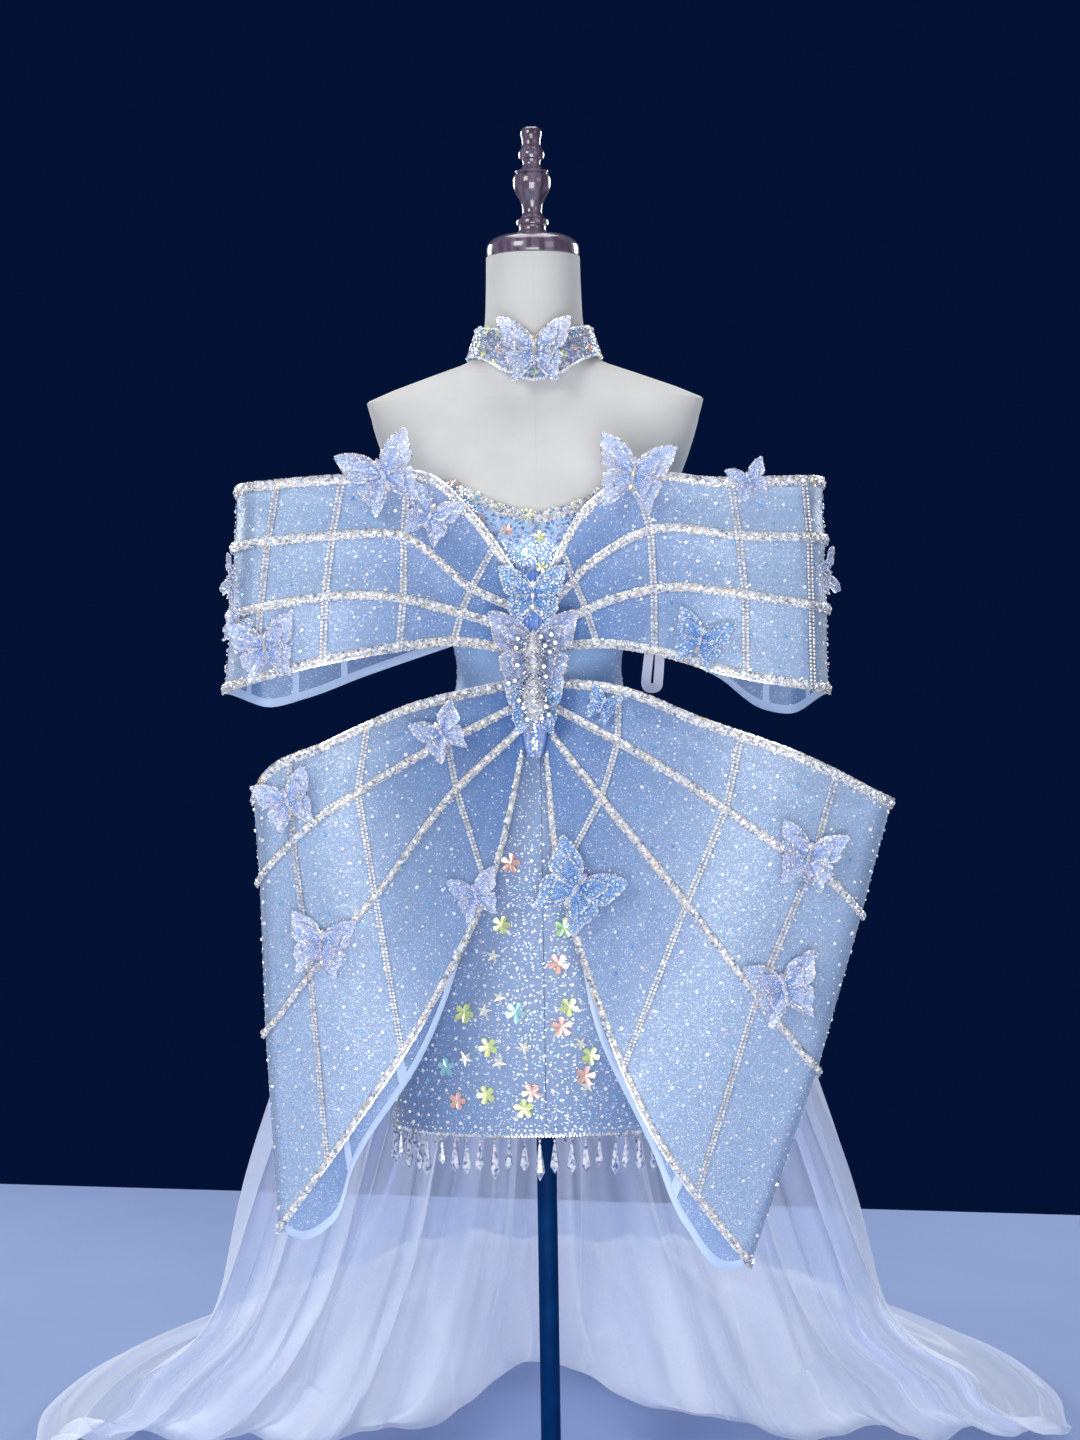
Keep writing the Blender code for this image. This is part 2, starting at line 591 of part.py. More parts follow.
def build_hem():
    """The bead trim on the hem, and the crystal drops' plain reach under it."""
    angles = np.concatenate([quarter_angles(first, SKIRT_RADIUS)[:-1] for _, first in QUARTERS])
    rows = skirt_heights()[-2:]
    high = GAP + BAND_WALL
    sheet("hem_bead_trim", "silver", skirt_grid(angles, high, rows), skirt_grid(angles, GAP, rows),
          closed=True)
    drop = np.array([[0, 0, GAP], [0, 0, FRINGE_REACH]])

    def hang(off):
        hem = skirt_grid(angles, off, rows[-1:])
        return np.concatenate([hem - drop[0], hem - drop[1]])

    sheet("crystal_drop_fringe", "crystal", hang(high), hang(high - FRINGE_WALL), closed=True)


# --------------------------------------------------------------------- choker

def choker_rim(rim, off):
    """Points round one rim of the choker."""
    angles = np.linspace(0, 2 * math.pi, CHOKER_CELLS, endpoint=False)
    c, s = np.cos(angles), np.sin(angles)
    depth = np.where(s < 0, rim.front, rim.back) + off
    end_z = np.where(s < 0, rim.front_z, rim.back_z)
    z = rim.side_z + (end_z - rim.side_z) * s**4
    return np.stack([(rim.half_width + off) * c, depth * s, z], axis=1)


def choker_face(off):
    """The choker's face as a grid of two rows."""
    return np.stack([choker_rim(CHOKER_TOP, off), choker_rim(CHOKER_FOOT, off)])


def build_choker():
    """The collar band. Its butterfly is made with the others."""
    sheet("choker_band", "wing", choker_face(0), choker_face(-CHOKER_WALL), closed=True)


# ------------------------------------------------------------------------ bow

def knot_half(z):
    """Half the knot's width at a height: widest half way up."""
    share = np.clip((z - KNOT_BOTTOM) / (KNOT_TOP - KNOT_BOTTOM), 0, 1)
    return KNOT_END_HALF + (KNOT_WAIST_HALF - KNOT_END_HALF) * np.sin(math.pi * share) ** KNOT_ROUND


def knot_deep(z):
    """The knot's depth at a height."""
    share = (z - KNOT_BOTTOM) / (KNOT_TOP - KNOT_BOTTOM)
    return KNOT_DEPTH * (KNOT_SLIM + (1 - KNOT_SLIM) * math.sin(math.pi * share))


def knot_front(z):
    """Depth of the knot's front face."""
    return knot_back(z) - knot_deep(z)


def knot_back(z):
    """Depth of the knot's back, just clear of the dress's front."""
    return float(dress_point(-math.pi / 2, z)[1]) - KNOT_SEAT


def build_knot():
    """The pleated pad that gathers the four loops' ends."""
    angles = np.linspace(0, 2 * math.pi, KNOT_SIDES, endpoint=False)
    rings = []
    for share in np.linspace(0, 1, KNOT_RINGS):
        z = KNOT_BOTTOM + share * (KNOT_TOP - KNOT_BOTTOM)
        half = knot_half(z)
        deep = knot_deep(z) / 2
        middle = knot_back(z) - deep
        c, s = np.cos(angles), np.sin(angles)
        x = KNOT_X + half * np.sign(c) * np.abs(c) ** KNOT_ROUND
        y = middle + deep * np.sign(s) * np.abs(s) ** KNOT_ROUND
        rings.append(np.stack([x, y, np.full(KNOT_SIDES, z)], axis=1))
    column_solid("bow_knot", "satin", rings)


def bone_curve(loop, bone):
    """A bone's dense curve, from the knot's side to the outer turn's furthest point."""
    start_z = bone.start_z * MM
    start_x = loop.side * KNOT_X + float(knot_half(start_z)) + KNOT_CLEAR
    flat = np.array([(start_x, start_z)] + [(x * MM, z * MM) for x, z in bone.route])
    share = lengths(flat)
    dense = smooth(share, flat, np.linspace(0, 1, DENSE))
    reach, turn = flat[-1, 0], bone.turn_x * MM
    bend = np.linspace(0, math.pi / 2, TURN_SAMPLES)
    straight = np.linspace(start_x, reach - turn, BONE_SAMPLES)
    x = np.concatenate([straight[:-1], reach - turn + turn * np.sin(bend)])
    z = np.interp(x, dense[:, 0], dense[:, 1])
    part = np.interp(x, dense[:, 0], np.linspace(0, 1, DENSE))
    start_y = knot_back(start_z) - KNOT_DEPTH * BONE_START
    depths = [start_y, bone.near_y * MM, bone.middle_y * MM, bone.far_y * MM]
    y = smooth(BONE_DEPTHS_AT, depths, part)
    y[BONE_SAMPLES - 1:] += bone.turn_y * MM * (1 - np.cos(bend))
    return np.stack([loop.side * x, y, z], axis=1)


def columns_on(loop, curves):
    """Shares of each bone's length at the front panel's columns, and which cells are cross bands."""
    stops = []
    for curve, x_values in zip(curves, zip(*loop.crossings)):
        run = lengths(curve)
        total = np.linalg.norm(np.diff(curve, axis=0), axis=1).sum()
        shares = [0.0]
        for x in x_values:
            at = float(np.interp(x * MM, loop.side * curve[:, 0], run))
            half = CROSS_WIDTH / 2 / total
            before = shares[-1]
            shares += [before + (at - half - before) * 0.5, at - half, at + half]
        before = shares[-1]
        stops.append(shares + [before + (1 - before) * LAST_COLUMN, 1.0])
    crossed = [2 + 3 * i for i in range(len(loop.crossings))]
    return np.array(stops), crossed


def front_grid(loop):
    """The front panel's outer face. Its rows lie beside the bones, a band's width apart."""
    curves = [bone_curve(loop, bone) for bone in loop.bones]
    stops, crossed = columns_on(loop, curves)
    bones = np.stack([along(curve, share) for curve, share in zip(curves, stops)])

    def beside(i, other, distance):
        reach = bones[other] - bones[i]
        width = np.linalg.norm(reach, axis=1, keepdims=True)
        return bones[i] + reach * np.minimum(distance / width, BAND_REACH)

    half = BAND_WIDTH / 2
    rows = [
        bones[0], beside(0, 1, BAND_WIDTH), beside(1, 0, half), beside(1, 2, half),
        beside(2, 1, half), beside(2, 3, half), beside(3, 2, BAND_WIDTH), bones[3],
    ]
    return np.stack(rows), crossed


def back_edge_curve(loop, bone, edge, start):
    """A back panel's dense edge, from the outer turn round to its seam on the body."""
    side = loop.side
    angle = math.radians(-90 + side * edge.seam_angle)
    end = dress_point(angle, edge.seam_z * MM, SEAM_CLEAR)
    turn_x, turn_y = bone.turn_x * MM, bone.turn_y * MM
    route = [(side * start[0], start[2])] + [(x * MM, z * MM) for x, z in edge.route]
    flat = np.array(route + [(side * end[0], end[2])])
    dense = smooth(lengths(flat), flat, np.linspace(0, 1, DENSE))
    bend = np.linspace(0, math.pi / 2, TURN_SAMPLES)
    reach = side * start[0]
    x = np.concatenate([
        reach - turn_x + turn_x * np.cos(bend),
        np.linspace(reach - turn_x, side * end[0], BONE_SAMPLES)[1:],
    ])
    z = np.interp(-x, -dense[:, 0], dense[:, 1])
    behind = start[1] + turn_y
    part = np.linspace(0, 1, BONE_SAMPLES)[1:]
    y = np.concatenate([
        start[1] + turn_y * np.sin(bend),
        smooth([0, 0.5, 1.0], [behind, edge.middle_y * MM, end[1]], part),
    ])
    return np.stack([side * x, y, z], axis=1)


def before_skirt(points, room):
    """Points moved forwards where they would come nearer than room to the skirt's front."""
    moved = points.copy()
    for point in moved:
        half_width, front, _, squareness = ring_at(SKIRT_RINGS + (waist_row(),), point[2])
        share = abs(point[0]) / half_width
        if share < 1:
            face = -front * (1 - share**squareness) ** (1 / squareness)
            point[1] = min(point[1], face - room)
    return moved


def back_grid(loop, front):
    """The back panel's outer face, a patch between its four edges that starts a gap from the front."""
    seam = front[:, -1]
    top = along(back_edge_curve(loop, loop.bones[0], loop.back_top, seam[0]), BACK_STEPS)
    low = along(back_edge_curve(loop, loop.bones[3], loop.back_bottom, seam[-1]), BACK_STEPS)
    share = lengths(seam)
    first, last = loop.back_top, loop.back_bottom
    end = []
    for part in share:
        turn = first.seam_angle + (last.seam_angle - first.seam_angle) * part
        height = first.seam_z + (last.seam_z - first.seam_z) * part
        end.append(dress_point(math.radians(-90 + loop.side * turn), height * MM, SEAM_CLEAR))
    end = np.array(end)
    grid = np.zeros((len(share), len(BACK_STEPS), 3))
    for j, t in enumerate(BACK_STEPS):
        width = np.linalg.norm(low[j] - top[j])
        u = share.copy()
        u[1] = BAND_WIDTH / width
        u[-2] = 1 - BAND_WIDTH / width
        u = u[:, None]
        at_seam = np.stack([np.interp(u[:, 0], share, seam[:, i]) for i in range(3)], axis=1)
        at_end = np.stack([np.interp(u[:, 0], share, end[:, i]) for i in range(3)], axis=1)
        corners = (
            (1 - u) * (1 - t) * seam[0] + u * (1 - t) * seam[-1] + (1 - u) * t * end[0] + u * t * end[-1]
        )
        grid[:, j] = (1 - u) * top[j] + u * low[j] + (1 - t) * at_seam + t * at_end - corners
        if loop.clears_skirt:
            grid[:, j] = before_skirt(grid[:, j], SEAM_CLEAR + BACK_CLEAR * (1 - t))
    grid[:, 0] = seam
    run = grid[:, 1] - grid[:, 0]
    grid[:, 0] = seam + run / np.linalg.norm(run, axis=1, keepdims=True) * GAP
    return grid


def loop_layers(loop):
    """The front and back panels' outer faces with their normals, as one pair of grids."""
    front, crossed = front_grid(loop)
    back = back_grid(loop, front)
    whole = np.concatenate([front, back[:, 1:]], axis=1)
    normal = loop.side * grid_normals(whole)
    count = front.shape[1]
    back_normal = np.concatenate([normal[:, count - 1:count], normal[:, count:]], axis=1)
    return front, normal[:, :count], back, back_normal, whole, normal, crossed


def wall(name, kind, face, normal, low, high, keep=None):
    """A sheet between two heights over a loop's face."""
    return sheet(name, kind, face + normal * high, face + normal * low, keep)


def shortened(grid):
    """A grid whose first column is drawn back along its cells, for what lies on a panel."""
    drawn = grid.copy()
    run = grid[:, 1] - grid[:, 0]
    drawn[:, 0] += run / np.linalg.norm(run, axis=1, keepdims=True) * BAND_CLEAR
    return drawn


def build_loop(name, loop):
    """One loop's panels, its frame of edge and cross bands, and its two middle bands."""
    front, front_normal, back, back_normal, whole, normal, crossed = loop_layers(loop)
    wall(f"bow_{name}_front", "organza", front, front_normal, -ORGANZA_WALL, 0)
    wall(f"bow_{name}_back", "organza", back, back_normal, -ORGANZA_WALL, 0)
    first = GAP + BAND_WALL
    second = first + GAP
    end = whole.shape[1] - 1
    keep = np.zeros((front.shape[0] - 1, end - 1), bool)
    keep[[0, -1]] = True
    keep[:, crossed] = True
    short = shortened(whole)
    wall(f"bow_{name}_frame", "silver", short[:, :end], normal[:, :end], GAP, first, keep)
    for row, label in ((2, "upper_band"), (4, "lower_band")):
        face = short[row:row + 2, :front.shape[1]]
        wall(f"bow_{name}_{label}", "silver", face, front_normal[row:row + 2], second,
             second + BAND_WALL)


# ---------------------------------------------------------------- butterflies

def butterfly(name, centre, axes, span, drop):
    """A butterfly over a face: wings that rise from the body, and a boss that goes drop metres down.

    axes are the face's two directions, across and up, and its normal.
    """
    half = [(math.radians(w.angle), w.reach) for w in WING_OUTLINE]
    mirrored = [(math.pi - angle, reach) for angle, reach in half[1:-1]]
    outline = half + mirrored[::-1]
    count = len(outline)
    across, up, out = (np.asarray(v, float) for v in axes)

    def place(x, y, height):
        return np.asarray(centre) + across * x + up * y + out * height

    tips = [(span * reach * math.cos(a), span * reach * math.sin(a)) for a, reach in outline]
    body = BODY_RADIUS * span
    waist = [(body * math.cos(a), BODY_TALL * body * math.sin(a)) for a, _ in outline]
    points = [place(x, y, WING_RISE * abs(x) + WING_WALL) for x, y in tips]
    points += [place(x, y, WING_RISE * abs(x)) for x, y in tips]
    points += [place(x, y, WING_RISE * abs(x)) for x, y in waist]
    points += [place(x, y, -drop) for x, y in waist]
    points += [place(0, 0, 2 * WING_WALL), place(0, 0, -drop)]
    top, foot = 4 * count, 4 * count + 1
    triangles = []
    for i in range(count):
        j = (i + 1) % count
        triangles += [(top, i, j), (foot, 3 * count + j, 3 * count + i)]
        for ring in range(3):
            a, b = ring * count + i, ring * count + j
            triangles += [(a, a + count, b + count), (a, b + count, b)]
    return solid(name, "wing", points, triangles)


def face_axes(normal, roll):
    """Across, up and out on a face, turned by roll degrees about its normal."""
    out = np.asarray(normal, float) / np.linalg.norm(normal)
    across = np.cross((0, 0, 1), out)
    across /= np.linalg.norm(across)
    up = np.cross(out, across)
    c, s = math.cos(math.radians(roll)), math.sin(math.radians(roll))
    return across * c + up * s, up * c - across * s, out


def place_on_loop(loop, bone, share):
    """A point on a loop's front panel and its normal there, read on the panel's own cells."""
    curves = [bone_curve(loop, b) for b in loop.bones]
    stops, _ = columns_on(loop, curves)
    lower = min(int(bone), 2)

    def at(bone_number, s):
        line = along(curves[bone_number], stops[bone_number])
        return np.array([np.interp(s, stops[bone_number], line[:, i]) for i in range(3)])

    part = bone - lower
    here = at(lower, share) * (1 - part) + at(lower + 1, share) * part
    down = at(lower + 1, share) - at(lower, share)
    ahead = at(lower, min(share + FACE_STEP, 1)) - at(lower, share - FACE_STEP)
    return here, loop.side * np.cross(down, ahead)


def build_butterflies():
    """Butterflies on the loops, on the knot and on the choker."""
    for b in BUTTERFLIES:
        here, normal = place_on_loop(LOOPS[b.loop], b.bone, b.along)
        axes = face_axes(normal, b.roll)
        seat = GAP + b.layers * (BAND_WALL + GAP)
        butterfly(b.name, here + axes[2] * WING_HEIGHT, axes, b.span, WING_HEIGHT - seat)
    for b in KNOT_BUTTERFLIES:
        front = (KNOT_X, knot_front(b.z), b.z)
        axes = face_axes((0, -1, 0), b.roll)
        butterfly(b.name, front + axes[2] * b.height, axes, b.span, b.height - 2 * GAP)
    foot, top = choker_face(0)[::-1, CHOKER_CELLS * 3 // 4]
    normal = np.cross((1, 0, 0), top - foot)
    axes = face_axes(normal, 0)
    middle = (foot + top) / 2
    butterfly("choker_butterfly", middle + axes[2] * WING_HEIGHT, axes, CHOKER_SPAN, WING_HEIGHT - GAP)


# ---------------------------------------------------------------------- train

def lean_share(part):
    """How far the train's depth has turned from the middle's into the sides'."""
    return 1 - math.exp(-part**TRAIN_LEAN_POWER)


def train_base(a, s):
    """A point of the train's smooth surface: a from -1 to 1 across it, s from 0 to 1 along it."""
    stations = np.linspace(0, 1, len(TRAIN))
    table = np.array(TRAIN)
    half, middle_y, side_y, middle_z, side_z, fold, reach = smooth(stations, table, s)
    lean = lean_share(abs(a) / reach) / lean_share(1 / reach)
    spread = np.array([
        half * math.sin(a * math.radians(TRAIN_TURN)) / math.sin(math.radians(TRAIN_TURN)),
        middle_y + (side_y - middle_y) * lean,
        middle_z + (side_z - middle_z) * lean,
    ])
    seam = skirt_point(math.radians(90 - TRAIN_SEAM_ANGLE * a), TRAIN[0].middle_z, 2 * GAP)
    held = max(0.0, 1 - s / TRAIN_HELD)
    return spread + (seam - spread) * held, fold


def train_point(a, s):
    """A point of the folded train and its normal, folds standing out of the smooth surface."""
    step = TRAIN_STEP
    base, fold = train_base(a, s)
    across = train_base(a + step, s)[0] - train_base(a - step, s)[0]
    down = train_base(a, min(s + step, 1))[0] - train_base(a, max(s - step, 0))[0]
    normal = np.cross(across, down)
    normal /= np.linalg.norm(normal)
    place = a + TRAIN_DRIFT * math.sin(5 * a + 4 * s)
    wave = (1 + math.cos(math.pi * TRAIN_FOLDS * place)) / 2
    return base + normal * (TULLE_WALL + fold * wave)


def build_train():
    """Three gores of tulle, gathered at the back waist and spread out on the floor."""
    rows = np.linspace(0, 1, TRAIN_ROWS)
    for number, name in enumerate(TRAIN_GORES):
        start = -1 + 2 * number / 3
        grid = np.zeros((len(rows), GORE_CELLS + 1, 3))
        for i, s in enumerate(rows):
            short = GAP / 2 / train_base(1, s)[0][0]
            for j, a in enumerate(np.linspace(start + short, start + 2 / 3 - short, GORE_CELLS + 1)):
                far = 1 - TRAIN_WAVY * (1 + math.sin(7 * a + 1)) / 2
                grid[i, j] = train_point(a, s * far)
        inner = grid + grid_normals(grid) * TULLE_WALL
        low = np.minimum(inner[..., 2], grid[..., 2])
        lift = np.maximum(TRAIN_FLOOR - low, 0)[..., None] * np.array([0, 0, 1])
        sheet(name, "tulle", grid + lift, inner + lift)


# --------------------------------------------------------------- hanger ribbon

def ribbon_lane(offset):
    """A line along the ribbon, offset outwards from its middle: down, round and up again."""
    top, foot = np.array(RIBBON_TOP), np.array(RIBBON_FOOT)
    share = np.linspace(0, 1, RIBBON_CELLS)
    part = share * share * (3 - 2 * share)
    middle = top + (foot - top) * share[:, None]
    aside = RIBBON_SPREAD * part + offset
    left = middle + np.stack([-aside, 0 * share + RIBBON_APART, 0 * share], axis=1)
    right = middle + np.stack([aside, 0 * share - RIBBON_APART, 0 * share], axis=1)
    bend = []
    for turn in np.linspace(0, math.pi, RIBBON_BEND_CELLS)[1:-1]:
        c, s = math.cos(turn), math.sin(turn)
        reach = RIBBON_SPREAD + offset
        bend.append(foot + np.array([
            -reach * math.copysign(abs(c) ** RIBBON_SQUARE, c), RIBBON_APART * c,
            -reach * s**RIBBON_SQUARE,
        ]))
    return np.concatenate([left, bend, right[::-1]])


def build_ribbon():
    """The hanger's long narrow loop, from the side seam's top."""
    face = np.stack([ribbon_lane(-RIBBON_WIDE / 2), ribbon_lane(RIBBON_WIDE / 2)])
    back = face + np.array([0, RIBBON_WALL, 0])
    sheet("hanger_ribbon", "ribbon", face, back)


def main():
    """Build every piece."""
    clear_scene()
    build_form()
    build_dress_body()
    build_neckline_trim()
    build_zip()
    build_hem()
    build_choker()
    build_knot()
    for name, loop in LOOPS.items():
        build_loop(name, loop)
    build_butterflies()
    build_train()
    build_ribbon()


main()
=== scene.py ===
"""Looks of a strapless mini prom dress with a giant boned bow, on a limbless dress form.

Metres, +Z up, the front faces -Y and +X is the viewer's right. Tables marked "mm", and the
spacings and sizes of sewn stones, are in millimetres. The cloth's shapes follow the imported
solids; beads, stones, sequins and drops are added here.
"""

import logging
import math
from dataclasses import dataclass, field
from enum import Enum
from typing import Callable, NamedTuple, Protocol, Sequence

import bpy
import numpy as np
from mathutils import Matrix, Vector


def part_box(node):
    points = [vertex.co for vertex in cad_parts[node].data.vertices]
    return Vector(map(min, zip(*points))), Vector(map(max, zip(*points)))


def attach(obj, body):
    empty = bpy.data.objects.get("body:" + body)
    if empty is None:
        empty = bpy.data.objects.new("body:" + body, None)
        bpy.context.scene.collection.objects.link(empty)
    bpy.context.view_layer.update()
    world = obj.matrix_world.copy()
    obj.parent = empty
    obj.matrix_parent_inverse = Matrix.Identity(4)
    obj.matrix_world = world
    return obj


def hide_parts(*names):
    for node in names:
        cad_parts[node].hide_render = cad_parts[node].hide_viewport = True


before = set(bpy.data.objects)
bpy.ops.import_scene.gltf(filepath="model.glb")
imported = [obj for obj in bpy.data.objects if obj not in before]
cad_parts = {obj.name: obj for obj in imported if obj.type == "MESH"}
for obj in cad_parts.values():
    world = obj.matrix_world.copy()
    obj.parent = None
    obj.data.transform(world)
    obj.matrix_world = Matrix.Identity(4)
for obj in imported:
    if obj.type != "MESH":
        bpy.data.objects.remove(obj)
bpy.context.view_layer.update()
log = logging.getLogger("prom_dress")

MM = 0.001
BODY = "root"
Array = np.ndarray
Colour = tuple[float, float, float]
Parts = tuple                  # a mesh's points, its faces facing out, and maybe a (u, v) a point
Line = tuple[Array, Array]     # a line's points and their outward normals
Flat = tuple[float, float, float]      # a sheet's cut: its width, length and area
Material, Piece, Socket = bpy.types.Material, bpy.types.Object, bpy.types.NodeSocket
Value = Socket | float         # what a node's input takes: another's output or a number


def rgb(red: int, green: int, blue: int) -> Colour:
    """A display colour of 0 to 255 as linear numbers."""
    return tuple((c / 255) ** 2.2 for c in (red, green, blue))


# ------------------------------------------------------------------ curves and grids

def smooth(stations: Sequence[float], values: Sequence, at: Array | float) -> Array:
    """A smooth curve through (station, value) pairs.

    Args:
        stations: increasing places of the values.
        values: numbers or rows of numbers.
        at: where the curve is read.

    Returns:
        The curve's values there.
    """
    s, v = np.asarray(stations, float), np.asarray(values, float)
    q = np.clip(np.asarray(at, float), s[0], s[-1])
    slope = np.gradient(v, s, axis=0)
    k = np.clip(np.searchsorted(s, q, side="right") - 1, 0, len(s) - 2)
    step = s[k + 1] - s[k]
    f = (q - s[k]) / step
    if v.ndim > 1:
        f, step = f[..., None], step[..., None]
    return (
        v[k] * (2 * f**3 - 3 * f**2 + 1) + slope[k] * step * (f**3 - 2 * f**2 + f)
        + v[k + 1] * (3 * f**2 - 2 * f**3) + slope[k + 1] * step * (f**3 - f**2)
    )


def lengths(line: Array) -> Array:
    """Share of a line's length at each of its points."""
    run = np.concatenate([[0.0], np.cumsum(np.linalg.norm(np.diff(line, axis=0), axis=1))])
    return run / run[-1]


def along(line: Array, shares: Array) -> Array:
    """Points at shares of a line's length."""
    run = lengths(line)
    return np.stack([np.interp(shares, run, line[:, i]) for i in range(line.shape[1])], axis=-1)


def unit(vectors: Array) -> Array:
    """Vectors of length 1."""
    return vectors / np.maximum(np.linalg.norm(vectors, axis=-1, keepdims=True), 1e-12)


def turns(count: int) -> Array:
    """Even angles once round."""
    return np.linspace(0, 2 * math.pi, count, endpoint=False)


def grid_normals(grid: Array, closed: bool = False) -> Array:
    """Unit normals of a grid: its rows' direction crossed with its columns'.

    Args:
        grid: points, rows by columns.
        closed: whether the last column joins the first.

    Returns:
        One normal for each point.
    """
    down = np.gradient(grid, axis=0)
    if closed:
        beside = (np.roll(grid, -1, axis=1) - np.roll(grid, 1, axis=1)) / 2
    else:
        beside = np.gradient(grid, axis=1)
    return unit(np.cross(down, beside))


# ------------------------------------------------------------------ meshes

def make_piece(name: str, parts: Parts, finish: Material | None = None,
               sharp: float = 40) -> Piece:
    """A mesh object at the origin.

    Args:
        name: the piece's name.
        parts: its points, its faces and maybe its UV.
        finish: its material.
        sharp: edges of a larger angle in degrees stay sharp; 0 leaves every face flat.

    Returns:
        The object.
    """
    points, faces, *uv = parts
    mesh = bpy.data.meshes.new(name)
    mesh.from_pydata(np.asarray(points, float).tolist(), [], [list(map(int, f)) for f in faces])
    mesh.update()
    if uv:
        corner = np.zeros(len(mesh.loops), np.int32)
        mesh.loops.foreach_get("vertex_index", corner)
        layer = mesh.uv_layers.new(name="UVMap")
        layer.data.foreach_set("uv", np.asarray(uv[0], np.float32)[corner].ravel())
    if sharp:
        mesh.shade_smooth()
        mesh.set_sharp_from_angle(angle=math.radians(sharp))
    if finish is not None:
        mesh.materials.append(finish)
    return linked(name, mesh)


def linked(name: str, data: bpy.types.ID) -> Piece:
    """A new object in the scene that shows a mesh, a lamp or a camera."""
    piece = bpy.data.objects.new(name, data)
    bpy.context.scene.collection.objects.link(piece)
    return piece


def grid_faces(rows: int, columns: int, closed: bool = False) -> Array:
    """Quads of a grid whose points are numbered row by row."""
    wide = columns if closed else columns - 1
    i, j = np.meshgrid(np.arange(rows - 1), np.arange(wide), indexing="ij")
    after = (j + 1) % columns
    quads = [i * columns + j, (i + 1) * columns + j, (i + 1) * columns + after, i * columns + after]
    return np.stack(quads, axis=-1).reshape(-1, 4)


def grid_uv(rows: int, columns: int) -> Array:
    """UV of a grid: u along its columns and v down its rows."""
    v, u = np.meshgrid(np.linspace(0, 1, rows), np.linspace(0, 1, columns), indexing="ij")
    return np.stack([u, v], axis=-1).reshape(-1, 2)


def face_mesh(grid: Array, flip: bool = False, closed: bool = False) -> Parts:
    """A single-layer sheet's parts; flip turns its faces round."""
    rows, columns = grid.shape[:2]
    faces = grid_faces(rows, columns, closed)
    return grid.reshape(-1, 3), faces[:, ::-1] if flip else faces, grid_uv(rows, columns)


def wall_mesh(outer: Array, inner: Array, flip: bool = False, closed: bool = False) -> Parts:
    """The parts of a closed wall between two matching grids.

    Args:
        outer: the outside face's points.
        inner: the inside face's points.
        flip: whether the grid's order makes its faces look inwards.
        closed: whether the last column joins the first.

    Returns:
        Points, faces and UV.
    """
    rows, columns = outer.shape[:2]
    face = grid_faces(rows, columns, closed)
    shift = rows * columns
    number = np.arange(shift).reshape(rows, columns)
    if closed:
        number = np.concatenate([number, number[:, :1]], axis=1)
    rims = []
    edges = [number[0, ::-1], number[-1]]
    if not closed:
        edges += [number[:, 0], number[::-1, -1]]
    for edge in edges:
        a, b = edge[:-1], edge[1:]
        rims.append(np.stack([b, a, a + shift, b + shift], axis=-1))
    faces = np.concatenate([face, face[:, ::-1] + shift, *rims])
    points = np.concatenate([outer.reshape(-1, 3), inner.reshape(-1, 3)])
    uv = grid_uv(rows, columns)
    return points, faces[:, ::-1] if flip else faces, np.concatenate([uv, uv])


def joined(parts: Sequence[Parts]) -> Parts:
    """Several meshes' parts as one mesh's parts."""
    points, faces, uv, shift = [], [], [], 0
    for p, f, t in parts:
        points.append(p)
        faces.extend((np.asarray(face) + shift).tolist() for face in f)
        uv.append(t)
        shift += len(p)
    return np.concatenate(points), faces, np.concatenate(uv)


def capped_faces(rows: int, around: int) -> list:
    """Faces of a closed round body: its rows from bottom to top, and a face over each end."""
    last = (rows - 1) * around
    faces = [list(f) for f in grid_faces(rows, around, closed=True)[:, ::-1]]
    return faces + [list(range(around - 1, -1, -1)), [last + j for j in range(around)]]


def turned_mesh(profile: Sequence, around: int) -> Parts:
    """A closed turned body from rows of (height, radius), bottom to top."""
    height, radius = np.array(profile).T
    angles = turns(around)
    rings = np.stack([
        np.outer(radius, np.cos(angles)), np.outer(radius, np.sin(angles)),
        np.repeat(height[:, None], around, axis=1),
    ], axis=-1)
    rows = len(height)
    return rings.reshape(-1, 3), capped_faces(rows, around), grid_uv(rows, around)


# ------------------------------------------------------------------ finishes

